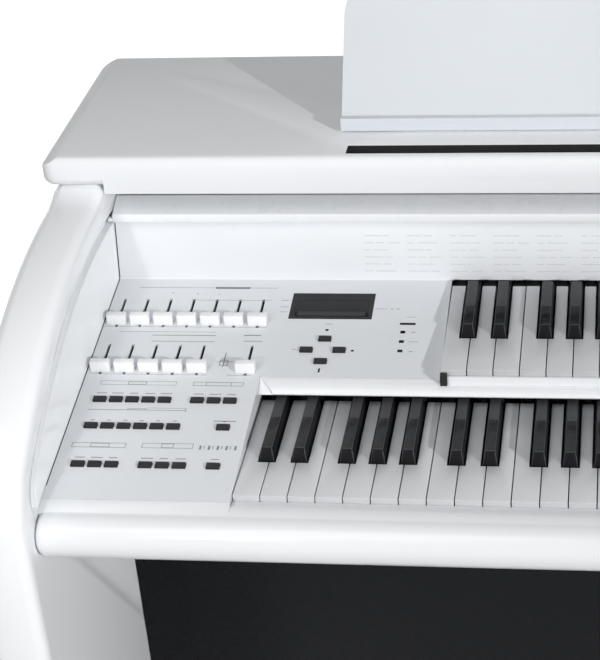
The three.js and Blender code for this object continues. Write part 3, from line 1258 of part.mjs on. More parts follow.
// Swell pedal: a ribbed plate that rocks on a bracket under its middle
function swellPedal() {
  const heel = -SWELL_LENGTH * SWELL_HEEL_SHARE;
  const toe = heel + SWELL_LENGTH;
  const plate = upright(
    roundedRectangle(-SWELL_WIDTH * HALF, SWELL_WIDTH * HALF, heel, toe, SWELL_THICKNESS),
    0, SWELL_THICKNESS, EDGE_STEPS,
  );
  const pieces = [plate];
  const step = (SWELL_LENGTH - SWELL_THICKNESS * 2) / SWELL_RIB_COUNT;
  for (let k = 0; k < SWELL_RIB_COUNT; k += 1) {
    const v = heel + SWELL_THICKNESS + (k + HALF) * step;
    pieces.push(boxBetween(
      -SWELL_WIDTH * HALF + SWELL_RIB_WIDTH, SWELL_WIDTH * HALF - SWELL_RIB_WIDTH,
      v - SWELL_RIB_WIDTH * HALF, v + SWELL_RIB_WIDTH * HALF,
      SWELL_THICKNESS - JOIN, SWELL_THICKNESS + SWELL_RIB_HEIGHT,
    ));
  }
  return join(pieces).rotateX(SWELL_TILT);
}
place("swell_pedal", swellPedal(), FINISH.rubber).position.set(SWELL_X, SWELL_PIVOT_Y, SWELL_PIVOT_Z);

function swellBracket() {
  const inner = SWELL_WIDTH * HALF + RUN_GAP;
  const outer = inner + SWELL_BRACKET_THICKNESS;
  const plateTop = FLOOR_Z + SWELL_BRACKET_THICKNESS;
  const lugFront = SWELL_PIVOT_Y - SWELL_LUG_LENGTH * HALF;
  const lugBack = SWELL_PIVOT_Y + SWELL_LUG_LENGTH * HALF;
  const lugTop = SWELL_PIVOT_Z + SWELL_LUG_RISE;
  return join([
    boxBetween(-outer, outer, SWELL_BRACKET_FRONT_Y, SHELF_FRONT_Y, FLOOR_Z, plateTop),
    boxBetween(
      -outer, outer,
      SHELF_FRONT_Y - SWELL_BRACKET_THICKNESS, SHELF_FRONT_Y,
      FLOOR_Z, SHELF_UNDER_Z - FIT_GAP,
    ),
    boxBetween(-outer, -inner, lugFront, lugBack, FLOOR_Z, lugTop),
    boxBetween(inner, outer, lugFront, lugBack, FLOOR_Z, lugTop),
  ]).translate(SWELL_X, 0, 0);
}
place("swell_bracket", swellBracket(), FINISH.steel);

export default organ;
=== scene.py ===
"""Looks of the electronic organ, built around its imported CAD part. Sizes are millimetres here."""
import json
import math

import bmesh
import bpy
from mathutils import Matrix, Vector


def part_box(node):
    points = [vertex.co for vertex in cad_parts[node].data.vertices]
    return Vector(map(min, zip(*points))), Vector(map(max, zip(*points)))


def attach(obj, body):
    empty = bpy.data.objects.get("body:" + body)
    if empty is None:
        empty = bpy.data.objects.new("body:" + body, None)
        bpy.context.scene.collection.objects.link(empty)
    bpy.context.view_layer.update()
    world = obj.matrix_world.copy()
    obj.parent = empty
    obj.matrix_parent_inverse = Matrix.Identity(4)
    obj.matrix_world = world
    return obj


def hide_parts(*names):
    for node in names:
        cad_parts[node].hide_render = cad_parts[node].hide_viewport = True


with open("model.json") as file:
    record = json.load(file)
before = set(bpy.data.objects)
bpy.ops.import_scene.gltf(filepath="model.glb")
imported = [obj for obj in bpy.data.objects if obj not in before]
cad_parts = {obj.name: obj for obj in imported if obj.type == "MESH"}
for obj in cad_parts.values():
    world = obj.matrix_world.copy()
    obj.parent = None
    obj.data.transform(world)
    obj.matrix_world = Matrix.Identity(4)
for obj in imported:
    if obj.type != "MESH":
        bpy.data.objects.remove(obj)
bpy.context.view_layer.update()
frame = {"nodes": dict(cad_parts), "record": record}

MM = 0.001
NODES = frame["nodes"]
RECORD = frame["record"]
BODY_OF = {node: body for body, nodes in RECORD["behaviour"]["bodies"].items() for node in nodes}
SLOT_OF = {entry["node"]: entry["material_slot"] for entry in RECORD["subparts"]}

# Driving dimensions, the same as the CAD part's
PANEL_SLOPE = math.radians(8.24)
UPPER_TILT = math.radians(3.58)
FASCIA_LEAN = math.radians(10)

# Depths from a manual's front: back ends of the white keys' plates, and where the glossy
# patches of the black keys' tops, painted darker as a painted reflection, begin and end
LOWER_PLATE = 148.6
UPPER_PLATE = 137.9
SHARP_GLOSS_AND_REFLECTION_FROM = 56.3
LOWER_GLOSS_AND_REFLECTION_TO = 105
UPPER_GLOSS_AND_REFLECTION_TO = 87

# Front edge of the lower manual's key plane, read from the frame, and how far the upper
# manual's front lies behind it
LOWER_LOW, LOWER_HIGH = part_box("lower_key_c")
ORIGIN = Vector((0, LOWER_LOW[1], LOWER_HIGH[2]))
UPPER_Y = 148.9


def at(x, y, z):
    """A point given from the front edge of the lower manual's key plane."""
    return ORIGIN + Vector((x, y, z)) * MM


def on_panel(x, v, n=0.0):
    """A point on the sloping control panel, n above it."""
    run = v * math.cos(PANEL_SLOPE) - n * math.sin(PANEL_SLOPE)
    rise = v * math.sin(PANEL_SLOPE) + n * math.cos(PANEL_SLOPE)
    return at(x, run, rise)


# Materials. Texture scales are waves per metre, bump depths are millimetres
COAT_ROUGHNESS = 0.06
NOISE_LOW = 0.3
NOISE_HIGH = 0.7
LACQUER_CLOUDS = 4
LACQUER_SHEEN = 30
LACQUER_PEEL = 420
LACQUER_PEEL_DEPTH = 0.02
LACQUER_SHADE = 0.97
SATIN_CLOUDS = 6
SATIN_SHEEN = 60
SATIN_SHADE = 0.95


def new_material(name, colour, roughness, metallic=0.0, coat=0.0, specular=0.5):
    material = bpy.data.materials.new(name)
    material.use_nodes = True
    shader = material.node_tree.nodes["Principled BSDF"]
    shader.inputs["Base Color"].default_value = (*colour, 1)
    shader.inputs["Roughness"].default_value = roughness
    shader.inputs["Metallic"].default_value = metallic
    shader.inputs["Specular IOR Level"].default_value = specular
    shader.inputs["Coat Weight"].default_value = coat
    shader.inputs["Coat Roughness"].default_value = COAT_ROUGHNESS
    return material


def texture(material, scale, stretch=(1, 1, 1), detail=3.0):
    """Noise over the piece's own coordinates, in metres."""
    nodes, links = material.node_tree.nodes, material.node_tree.links
    coordinates = nodes.new("ShaderNodeTexCoord")
    mapping = nodes.new("ShaderNodeMapping")
    mapping.inputs["Scale"].default_value = stretch
    noise = nodes.new("ShaderNodeTexNoise")
    noise.inputs["Scale"].default_value = scale
    noise.inputs["Detail"].default_value = detail
    links.new(coordinates.outputs["Object"], mapping.inputs["Vector"])
    links.new(mapping.outputs["Vector"], noise.inputs["Vector"])
    return noise.outputs["Fac"]


def spread(material, factor, low, high):
    """Spreads a noise over a range of values."""
    nodes, links = material.node_tree.nodes, material.node_tree.links
    remap = nodes.new("ShaderNodeMapRange")
    remap.inputs["From Min"].default_value = NOISE_LOW
    remap.inputs["From Max"].default_value = NOISE_HIGH
    remap.inputs["To Min"].default_value = low
    remap.inputs["To Max"].default_value = high
    links.new(factor, remap.inputs["Value"])
    return remap.outputs["Result"]


def vary_colour(material, factor, first, second):
    nodes, links = material.node_tree.nodes, material.node_tree.links
    mix = nodes.new("ShaderNodeMix")
    mix.data_type = "RGBA"
    mix.inputs["A"].default_value = (*first, 1)
    mix.inputs["B"].default_value = (*second, 1)
    links.new(factor, mix.inputs["Factor"])
    links.new(mix.outputs["Result"], nodes["Principled BSDF"].inputs["Base Color"])


def vary_roughness(material, factor, low, high):
    links = material.node_tree.links
    shader = material.node_tree.nodes["Principled BSDF"]
    links.new(spread(material, factor, low, high), shader.inputs["Roughness"])


def add_bump(material, factor, depth_mm, strength=1.0):
    nodes, links = material.node_tree.nodes, material.node_tree.links
    bump = nodes.new("ShaderNodeBump")
    bump.inputs["Distance"].default_value = depth_mm * MM
    bump.inputs["Strength"].default_value = strength
    links.new(factor, bump.inputs["Height"])
    links.new(bump.outputs["Normal"], nodes["Principled BSDF"].inputs["Normal"])


def between(material, value, start, end):
    """1 where the value lies between start and end, in metres."""
    nodes, links = material.node_tree.nodes, material.node_tree.links
    edges = []
    for limit, operation in ((start, "GREATER_THAN"), (end, "LESS_THAN")):
        test = nodes.new("ShaderNodeMath")
        test.operation = operation
        test.inputs[1].default_value = limit
        links.new(value, test.inputs[0])
        edges.append(test.outputs[0])
    both = nodes.new("ShaderNodeMath")
    both.operation = "MULTIPLY"
    links.new(edges[0], both.inputs[0])
    links.new(edges[1], both.inputs[1])
    return both.outputs[0]


def shade_of(colour, share):
    return tuple(channel * share for channel in colour)


def lacquer(name, colour, coat=0.3, specular=0.4, low=0.13, high=0.2):
    """Sprayed gloss paint with a faint orange peel; low and high limit its roughness."""
    material = new_material(name, colour, low, coat=coat, specular=specular)
    clouds = texture(material, LACQUER_CLOUDS)
    vary_colour(material, clouds, colour, shade_of(colour, LACQUER_SHADE))
    vary_roughness(material, texture(material, LACQUER_SHEEN), low, high)
    add_bump(material, texture(material, LACQUER_PEEL, detail=2), LACQUER_PEEL_DEPTH)
    return material


def satin(name, colour, low, high, grain_scale, grain_depth, specular=0.5):
    """Moulded or painted surface with a fine grain; low and high limit its roughness."""
    material = new_material(name, colour, low, specular=specular)
    clouds = texture(material, SATIN_CLOUDS)
    vary_colour(material, clouds, colour, shade_of(colour, SATIN_SHADE))
    vary_roughness(material, texture(material, SATIN_SHEEN), low, high)
    add_bump(material, texture(material, grain_scale), grain_depth)
    return material


SHARP_BASE = (0.02, 0.02, 0.021)
# Sides of the black keys are painted darker as painted shade, and their tops lighter as painted
# light
SHARP_SIDE_PAINTED_SHADE = (0.010, 0.010, 0.011)
SHARP_TOP_PAINTED_LIGHT = (0.042, 0.043, 0.046)
# Darker black of the glossy patch: a painted reflection
SHARP_POLISHED_PAINTED_REFLECTION = (0.004, 0.004, 0.005)
SHARP_GRAIN = 1400
SHARP_GRAIN_DEPTH = 0.02
SHARP_ROUGHNESS = 0.45
SHARP_POLISHED_ROUGHNESS = 0.2
SHARP_SIDE_SHEEN = 0.06
SHARP_TOP_SHEEN = 0.3
TOP_FACING = 0.9
ANY_FACING = 2


def sharp_plastic(name, gloss_and_reflection_from_y, gloss_and_reflection_to_y):
    """Black key: grained all over, its tops painted lighter than its sides as painted light, with a
    glossy patch at the front of its top painted darker as a painted reflection.
    """
    material = new_material(name, SHARP_BASE, 0.4, specular=0.25)
    nodes, links = material.node_tree.nodes, material.node_tree.links
    coordinates = nodes.new("ShaderNodeTexCoord")
    place = nodes.new("ShaderNodeSeparateXYZ")
    facing = nodes.new("ShaderNodeSeparateXYZ")
    links.new(coordinates.outputs["Object"], place.inputs["Vector"])
    links.new(coordinates.outputs["Normal"], facing.inputs["Vector"])
    top = between(material, facing.outputs["Z"], TOP_FACING, ANY_FACING)
    gloss_and_painted_reflection = nodes.new("ShaderNodeMath")
    gloss_and_painted_reflection.operation = "MULTIPLY"
    links.new(top, gloss_and_painted_reflection.inputs[0])
    links.new(between(material, place.outputs["Y"], gloss_and_reflection_from_y, gloss_and_reflection_to_y), gloss_and_painted_reflection.inputs[1])
    grain = texture(material, SHARP_GRAIN, detail=5)
    speckle = spread(material, grain, 0.5, 1.0)
    # Tops painted lighter than the sides: painted light
    sides = nodes.new("ShaderNodeMix")
    sides.data_type = "RGBA"
    sides.inputs["A"].default_value = (*SHARP_SIDE_PAINTED_SHADE, 1)
    sides.inputs["B"].default_value = (*SHARP_TOP_PAINTED_LIGHT, 1)
    lit = nodes.new("ShaderNodeMath")
    lit.operation = "MULTIPLY"
    links.new(top, lit.inputs[0])
    links.new(speckle, lit.inputs[1])
    links.new(lit.outputs[0], sides.inputs["Factor"])
    # The glossy patch is painted darker: a painted reflection
    colour = nodes.new("ShaderNodeMix")
    colour.data_type = "RGBA"
    colour.inputs["B"].default_value = (*SHARP_POLISHED_PAINTED_REFLECTION, 1)
    links.new(gloss_and_painted_reflection.outputs[0], colour.inputs["Factor"])
    links.new(sides.outputs["Result"], colour.inputs["A"])
    links.new(colour.outputs["Result"], nodes["Principled BSDF"].inputs["Base Color"])
    rough = nodes.new("ShaderNodeMapRange")
    rough.inputs["To Min"].default_value = SHARP_ROUGHNESS
    rough.inputs["To Max"].default_value = SHARP_POLISHED_ROUGHNESS
    links.new(gloss_and_painted_reflection.outputs[0], rough.inputs["Value"])
    links.new(rough.outputs["Result"], nodes["Principled BSDF"].inputs["Roughness"])
    sheen = nodes.new("ShaderNodeMapRange")
    sheen.inputs["To Min"].default_value = SHARP_SIDE_SHEEN
    sheen.inputs["To Max"].default_value = SHARP_TOP_SHEEN
    links.new(top, sheen.inputs["Value"])
    links.new(sheen.outputs["Result"], nodes["Principled BSDF"].inputs["Specular IOR Level"])
    add_bump(material, grain, SHARP_GRAIN_DEPTH)
    return material


WOOD_GRAIN = 18
WOOD_STRETCH = (14, 1, 14)
WOOD_LIGHT = 2.2
WOOD_GRAIN_DEPTH = 0.1


def wood(name, colour):
    """Varnished wood with its grain along the pedals."""
    material = new_material(name, colour, 0.35, coat=0.3)
    grain = texture(material, WOOD_GRAIN, stretch=WOOD_STRETCH, detail=8)
    vary_colour(material, grain, colour, shade_of(colour, WOOD_LIGHT))
    vary_roughness(material, grain, 0.28, 0.45)
    add_bump(material, grain, WOOD_GRAIN_DEPTH)
    return material


BRUSHING = 60
BRUSHING_STRETCH = (1, 30, 30)
BRUSHING_SHADE = 0.85
BRUSHING_ROUGHNESS = 0.15
BRUSHING_DEPTH = 0.02


def metal(name, colour, roughness):
    """Sheet metal brushed from left to right."""
    material = new_material(name, colour, roughness, metallic=1.0)
    brushed = texture(material, BRUSHING, stretch=BRUSHING_STRETCH, detail=4)
    vary_colour(material, brushed, colour, shade_of(colour, BRUSHING_SHADE))
    vary_roughness(material, brushed, roughness, roughness + BRUSHING_ROUGHNESS)
    add_bump(material, brushed, BRUSHING_DEPTH)
    return material


def upper_y(v):
    """Depth of a point v up the upper manual, in metres."""
    return at(0, UPPER_Y + v * math.cos(UPPER_TILT), 0).y


def lower_y(v):
    return at(0, v, 0).y


WHITE = (0.87, 0.885, 0.905)
PANEL_GREY = (0.74, 0.76, 0.785)
LOWER_SHARP_GLOSS_AND_REFLECTION = (lower_y(SHARP_GLOSS_AND_REFLECTION_FROM), lower_y(LOWER_GLOSS_AND_REFLECTION_TO))
UPPER_SHARP_GLOSS_AND_REFLECTION = (upper_y(SHARP_GLOSS_AND_REFLECTION_FROM), upper_y(UPPER_GLOSS_AND_REFLECTION_TO))
BUTTON_BLACK = (0.012, 0.012, 0.014)
MATERIALS = {
    "cabinet_lacquer": lacquer("cabinet_lacquer_look", WHITE),
    "cover_lacquer": lacquer("cover_lacquer_look", WHITE, 0.05, 0.3, 0.25, 0.32),
    "panel_paint": satin("panel_paint_look", PANEL_GREY, 0.32, 0.44, 2600, 0.02),
    "dark_board": satin("dark_board_look", (0.006, 0.0065, 0.0075), 0.22, 0.34, 900, 0.02, 0.1),
    "screen": satin("screen_look", (0.007, 0.0075, 0.008), 0.08, 0.14, 200, 0.005, 0.3),
    "knob_plastic": satin("knob_plastic_look", (0.88, 0.89, 0.90), 0.25, 0.35, 2000, 0.02),
    "button_plastic": satin("button_plastic_look", BUTTON_BLACK, 0.4, 0.6, 2400, 0.05, 0.3),
    "circuit_board": satin("circuit_board_look", (0.02, 0.12, 0.05), 0.3, 0.5, 800, 0.05),
    "natural_key": satin("natural_key_look", (0.66, 0.675, 0.69), 0.24, 0.27, 2200, 0.003),
    "sharp_key": sharp_plastic("sharp_key_look", *LOWER_SHARP_GLOSS_AND_REFLECTION),
    "sheet_steel": metal("sheet_steel_look", (0.55, 0.56, 0.57), 0.3),
    "speaker_frame": satin("speaker_frame_look", (0.02, 0.02, 0.022), 0.4, 0.6, 700, 0.05),
    "pedal_wood": wood("pedal_wood_look", (0.022, 0.014, 0.010)),
    "tread_plastic": satin("tread_plastic_look", (0.018, 0.018, 0.019), 0.5, 0.7, 1500, 0.1),
}
UPPER_SHARP = sharp_plastic("upper_sharp_key_look", *UPPER_SHARP_GLOSS_AND_REFLECTION)
# Eased edges of the black keys painted lighter: a painted highlight
SHARP_EDGE_PAINTED_HIGHLIGHT = satin("sharp_edge_highlight_look", (0.05, 0.052, 0.055), 0.25, 0.4, 1500, 0.01, 0.2)
TOP_LACQUER = lacquer("top_lacquer_look", WHITE, 0.0, 0.15, 0.35, 0.42)
# The rail's white is painted 7 % darker than the cabinet's: painted shade
RAIL_SHADED_LACQUER = lacquer("rail_shade_lacquer_look", shade_of(WHITE, 0.93), 0.12, 0.3, 0.18, 0.25)
# The upper manual's white keys are painted darker than the lower's: painted shade
UPPER_NATURAL_PAINTED_SHADE = satin("upper_natural_shade_look", (0.60, 0.615, 0.63), 0.24, 0.27, 2200, 0.003)
SLIP_PAINT = satin("slip_paint_look", (0.86, 0.875, 0.895), 0.3, 0.4, 2600, 0.02)
FASCIA_PAINT = satin("fascia_paint_look", (0.81, 0.83, 0.855), 0.32, 0.42, 2600, 0.02)
KEY_FRONT = satin("key_front_look", (0.56, 0.57, 0.585), 0.3, 0.4, 1500, 0.01)
# Tails of the white keys painted dark: painted shade
KEY_TAIL_PAINTED_SHADE = satin("key_tail_shade_look", (0.016, 0.016, 0.017), 0.5, 0.7, 900, 0.1)
REST_PAINT = satin("rest_paint_look", (0.715, 0.75, 0.79), 0.35, 0.45, 600, 0.01)
FELT = satin("felt_look", (0.010, 0.010, 0.011), 0.85, 0.95, 3000, 0.3)
INK = satin("ink_look", (0.22, 0.23, 0.25), 0.5, 0.6, 2000, 0.01)
FASCIA_INK = satin("fascia_ink_look", (0.60, 0.62, 0.645), 0.5, 0.6, 2000, 0.01)
GLASS_STRIP = satin("glass_strip_look", (0.03, 0.032, 0.035), 0.25, 0.4, 2400, 0.05, 0.3)
DISPLAY_RIM = satin("display_rim_look", (0.014, 0.0145, 0.016), 0.4, 0.6, 2400, 0.1, 0.3)


# Pieces
def add_piece(name, shape, material, body, smooth_angle=38):
    """Makes an object of a finished bmesh and lets it ride on a body."""
    mesh = bpy.data.meshes.new(name)
    bmesh.ops.recalc_face_normals(shape, faces=shape.faces)
    shape.to_mesh(mesh)
    shape.free()
    mesh.shade_smooth()
    mesh.set_sharp_from_angle(angle=math.radians(smooth_angle))
    mesh.materials.append(material)
    piece = bpy.data.objects.new(name, mesh)
    bpy.context.collection.objects.link(piece)
    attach(piece, body)
    return piece


def ease_edges(shape, width_mm, segments=2, angle=35, look=-1):
    """Rounds every edge that turns by more than the angle, in degrees."""
    sharp = [
        edge for edge in shape.edges
        if len(edge.link_faces) == 2 and edge.calc_face_angle(0) > math.radians(angle)
    ]
    bmesh.ops.bevel(
        shape, geom=sharp, offset=width_mm * MM, segments=segments, profile=0.5,
        affect="EDGES", clamp_overlap=True, material=look,
    )


WELD = 0.002
FLAT_ANGLE = 0.5


def clean_copy(node):
    """The node's mesh without the triangulation of its flat faces."""
    shape = bmesh.new()
    shape.from_mesh(NODES[node].data)
    bmesh.ops.remove_doubles(shape, verts=shape.verts, dist=WELD * MM)
    bmesh.ops.dissolve_limit(
        shape, angle_limit=math.radians(FLAT_ANGLE), verts=shape.verts, edges=shape.edges,
    )
    return shape


def stand_for(node, shape, material, smooth_angle=38):
    """Puts a finished shape in the place of a CAD node."""
    piece = add_piece(f"{node}_finish", shape, material, BODY_OF[node], smooth_angle)
    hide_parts(node)
    return piece


def softened(node, material, edge_mm, segments=2, angle=35):
    """Stands for a CAD node, with its edges eased and its curves shaded smooth."""
    shape = clean_copy(node)
    ease_edges(shape, edge_mm, segments, angle)
    return stand_for(node, shape, material)


NATURAL_EDGE = 0.35
SHARP_EDGE_WIDTH = 0.45
PLATE_MARGIN = 0.2
FRONT_FACING = -0.9


def natural_keys(node, look, plate_end_y):
    """White keys: plates, darker grey fronts under them and lowered tails behind them painted dark
    as painted shade.
    """
    shape = clean_copy(node)
    ease_edges(shape, NATURAL_EDGE, 2)
    shape.normal_update()
    for face in shape.faces:
        if face.calc_center_median().y > plate_end_y + PLATE_MARGIN * MM:
            face.material_index = 1
        elif face.normal.y < FRONT_FACING:
            face.material_index = 2
    piece = stand_for(node, shape, look)
    piece.data.materials.append(KEY_TAIL_PAINTED_SHADE)
    piece.data.materials.append(KEY_FRONT)


def sharp_keys(node, look):
    """Black keys with their eased edges painted lighter: a painted highlight."""
    shape = clean_copy(node)
    ease_edges(shape, SHARP_EDGE_WIDTH, 2, look=1)
    piece = stand_for(node, shape, look)
    piece.data.materials.append(SHARP_EDGE_PAINTED_HIGHLIGHT)


def add_block(shape, corners):
    """Adds a block from its lower four and upper four corners, each in turn round the block."""
    points = [shape.verts.new(corner) for corner in corners]
    faces = [(3, 2, 1, 0), (4, 5, 6, 7)]
    faces += [(k, (k + 1) % 4, (k + 1) % 4 + 4, k + 4) for k in range(4)]
    for face in faces:
        shape.faces.new([points[k] for k in face])


def add_box(shape, place, x0, x1, y0, y1, z0, z1):
    """Adds a block between two corners in the coordinates of the place function."""
    plan = ((x0, y0), (x1, y0), (x1, y1), (x0, y1))
    add_block(shape, [place(x, y, z) for z in (z0, z1) for x, y in plan])


# The cover's front bar: a lip along its foot and a slope that rises over the edge of the leaf
BAR_FRONT_Y = 301
BAR_LIP_Y = 304
BAR_SLOPE_Y = 325
BAR_FOOT_Z = 103
BAR_LIP_Z = 111.5
BAR_SLOPE_Z = 120
BAR_BACK_Y = 308
BAR_BACK_THICKNESS = 3
BAR_CHAMFER = 0.5
BAR_HOLLOW = 3
BAR_EDGE = 1.2
BAR_TONGUE = 5
BAR_TONGUE_TOP_Z = 107
BAR_TONGUE_PLAY = 0.3


def cover_bar():
    """Bar of one section across the cover, with a tongue in the track at each end."""
    low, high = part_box("cover_bar")
    reach = (high[0] - low[0]) / MM / 2
    section = (
        (BAR_FRONT_Y, BAR_FOOT_Z), (BAR_FRONT_Y, BAR_LIP_Z), (BAR_LIP_Y, BAR_LIP_Z + BAR_CHAMFER),
        (BAR_SLOPE_Y, BAR_SLOPE_Z), (BAR_SLOPE_Y + BAR_BACK_THICKNESS, BAR_SLOPE_Z),
        (BAR_BACK_Y, BAR_LIP_Z - BAR_HOLLOW), (BAR_BACK_Y, BAR_FOOT_Z),
    )
    shape = bmesh.new()
    ends = [[shape.verts.new(at(x, y, z)) for y, z in section] for x in (-reach, reach)]
    for end in ends:
        shape.faces.new(end)
    for k in range(len(section)):
        after = (k + 1) % len(section)
        shape.faces.new((ends[0][k], ends[0][after], ends[1][after], ends[1][k]))
    for x0, x1 in ((-reach - BAR_TONGUE, -reach), (reach, reach + BAR_TONGUE)):
        add_box(
            shape, at, x0, x1, BAR_FRONT_Y + BAR_CHAMFER, BAR_BACK_Y,
            BAR_FOOT_Z + BAR_TONGUE_PLAY, BAR_TONGUE_TOP_Z,
        )
    bmesh.ops.recalc_face_normals(shape, faces=shape.faces)
    ease_edges(shape, BAR_EDGE, 3, 20)
    stand_for("cover_bar", shape, MATERIALS["cover_lacquer"])


# Cabinet, cover, controls and keys, with the width of their eased edges
OWN_FINISH = {
    "music_rest": (REST_PAINT, 0.8),
    "top_lid": (TOP_LACQUER, 1.2),
    "front_rail": (RAIL_SHADED_LACQUER, 0.6),
    "upper_key_slip": (SLIP_PAINT, 0.4),
    "fascia": (FASCIA_PAINT, 0.4),
}
EASED = {
    "knee_panel": 1.0, "back_panel": 1.0, "bottom_shelf": 1.5, "key_bed": 1.0,
    "natural_pedals": 2.0, "sharp_pedals": 2.0, "swell_pedal": 1.2, "swell_bracket": 1.0,
    "pedal_frame": 1.0, "power_switch": 0.5,
}
CHEEK_EDGE = 1.0
CHEEK_EDGE_ANGLE = 50
CAP_EDGE = 0.18


def finish_nodes():
    """Gives each CAD node its finished mesh or its look."""
    for node in sorted(NODES):
        slot = SLOT_OF[node]
        look = MATERIALS[slot]
        upper = node.startswith("upper")
        if slot == "natural_key":
            plate_end = upper_y(UPPER_PLATE) if upper else lower_y(LOWER_PLATE)
            natural_keys(node, UPPER_NATURAL_PAINTED_SHADE if upper else look, plate_end)
        elif slot == "sharp_key":
            sharp_keys(node, UPPER_SHARP if upper else look)
        elif node in OWN_FINISH:
            softened(node, *OWN_FINISH[node])
        elif node == "cover_bar":
            cover_bar()
        elif node.startswith("side_panel"):
            softened(node, look, CHEEK_EDGE, 2, CHEEK_EDGE_ANGLE)
        elif slot in ("knob_plastic", "button_plastic"):
            softened(node, look, CAP_EDGE)
        elif node in EASED:
            softened(node, look, EASED[node])
        else:
            for slot_entry in NODES[node].material_slots:
                slot_entry.material = look


# Printed lines and boxes of the control panel, a hair above its face. Each is given by its
# limits in x and v, where v runs up the slope of the panel
PRINT_LOW = 0.02
PRINT_HIGH = 0.06
LINE = 0.5
THIN_LINE = 0.35
THICK_LINE = 0.7
UPPER_SLIDER_RULES = ((-483, -346, 286, 286.5), (-407, -373, 284.6, 287.6))
LOWER_SLIDER_RULES = (
    (-488, -395, 218, 218.4), (-455, -394, 212.6, 213.4), (-454, -394, 203.8, 204.4),
    (-367, -351, 213.2, 214.4), (-366, -348.5, 204.8, 205.6),
)
BUTTON_RULES = (
    (-492, -402.2, 106.4, 107), (-438, -402.8, 109.4, 109.8),
    (-402.8, -402.2, 105, 109.8), (-374.6, -354.6, 92.9, 93.9),
)
BUTTON_BOXES = (
    (-463, -445.7, 141.6, 145.6), (-402.4, -355.8, 140.9, 146.1), (-390.6, -366.9, 141, 146),
    (-456, -438.6, 106.7, 108.9), (-495.7, -446.9, 56.7, 62.9), (-478.9, -461.8, 57.4, 62.2),
    (-432.6, -386.7, 57, 63.4), (-414.9, -404.2, 57.6, 62.8),
)
THIN_BOX = (-489, -418, 141, 146.5)

# Button rows: v of the row, how far its dashes stand above it, their half lengths and places
BUTTON_ROWS = (
    (120.2, 8.8, (4.6, 5.4, 3.8), (0, 1, 2, 3, 4, 6, 7, 8)),
    (84.6, 7.6, (1.7,), (0, 1, 2, 3, 4, 5, 8)),
    (34.8, 8.6, (4.6, 5.4, 3.8), (0, 1, 2, 4, 5, 6, 8)),
)
BUTTON_FIRST_X = -484.5
BUTTON_PITCH = 15.0
DASH_HEIGHT = 0.9
TICK_COUNT = 9
TICK_FIRST_X = -381
TICK_PITCH = 3.9
TICK_WIDTHS = (1.9, 0.7)
TICK_FEET_V = (56, 57)
TICK_TOP_V = 61.2
SLOT_RULES = (
    (-506, -347, 225.4, 225.8), (-502, -392, 155.8, 156.2), (-374, -351, 155.8, 156.2),
    (-427, -348.9, 266.6, 267),
)
SLIDER_SPECKS = (
    (-449, -446.4, 277.6, 278.4), (-424.2, -421.8, 276.4, 277.2), (-402.6, -400.6, 275.8, 276.5),
)
PLUS_LINES = ((-386, -371, 174.6, 175.3), (-380, -379, 168, 188))
PLUS_BOX = (-383.4, -375.6, 169.6, 177.6)
DISPLAY_MARKS = (
    (-339.4, -332, 267, 267.6), (-339, -331.1, 256.9, 257.5), (-338.6, -331.5, 249.2, 249.8),
    (-247.6, -236, 254.8, 255.3), (-233, -230.4, 254.7, 255.5), (-227.5, -224.7, 254.7, 255.5),
)
CURSOR_MARKS = (
    (-292.4, -285.6, 231.2, 231.9), (-319.1, -315.4, 193.7, 194.4), (-216.6, -208.1, 242.6, 243),
    (-210.2, -206.5, 219.8, 220.6), (-212, -202.6, 206.2, 206.7), (-210, -206.5, 192, 192.8),
)
INDICATOR_WINDOWS = (
    (-222.1, -207.5, 231.3, 234.1), (-220.5, -216, 218.6, 222.2), (-220.5, -216, 204.8, 208.4),
    (-220.5, -216, 191.2, 194.8),
)
CURSOR_POINTERS = (
    (-291, -288.4, 221.4, 223.8), (-263.4, -261, 191.6, 193.8), (-290.4, -288.8, 161.4, 166.8),
)
WINDOW_RISE = 0.3
WINDOW_EDGE = 0.12


def printed(name, look, strips):
    """Thin printed strips, each given by its x and v limits on the panel."""
    shape = bmesh.new()
    for x0, x1, v0, v1 in strips:
        add_box(shape, on_panel, x0, x1, v0, v1, PRINT_LOW, PRINT_HIGH)
    return add_piece(name, shape, look, "cabinet")


def frame_strips(x0, x1, v0, v1, line=LINE):
    """The four sides of a printed box."""
    return [
        (x0, x1, v0, v0 + line), (x0, x1, v1 - line, v1),
        (x0, x0 + line, v0, v1), (x1 - line, x1, v0, v1),
    ]


def legends():
    """Boxes and rules around the groups of controls."""
    strips = [*UPPER_SLIDER_RULES, *LOWER_SLIDER_RULES, *BUTTON_RULES]
    strips += frame_strips(*THIN_BOX, THIN_LINE)
    for box in BUTTON_BOXES:
        strips += frame_strips(*box)
    return strips


def small_marks():
    """Short dashes over the buttons and slots, with no letters in them."""
    strips = []
    for row, lift, halves, places in BUTTON_ROWS:
        for place in places:
            half = halves[place % len(halves)]
            x = BUTTON_FIRST_X + place * BUTTON_PITCH
            strips.append((x - half, x + half, row + lift, row + lift + DASH_HEIGHT))
    for tick in range(TICK_COUNT):
        x = TICK_FIRST_X + tick * TICK_PITCH
        strips.append((x, x + TICK_WIDTHS[tick % 2], TICK_FEET_V[tick % 2], TICK_TOP_V))
    strips += [*SLOT_RULES, *SLIDER_SPECKS, *PLUS_LINES, *DISPLAY_MARKS, *CURSOR_MARKS]
    return strips + frame_strips(*PLUS_BOX, THICK_LINE)


def indicators():
    """Dark lamp windows by the upper manual and small pointers around the cursor buttons."""
    shape = bmesh.new()
    for x0, x1, v0, v1 in (*INDICATOR_WINDOWS, *CURSOR_POINTERS):
        add_box(shape, on_panel, x0, x1, v0, v1, PRINT_LOW, WINDOW_RISE)
    ease_edges(shape, WINDOW_EDGE, 1)
    add_piece("indicator_windows", shape, MATERIALS["screen"], "cabinet")


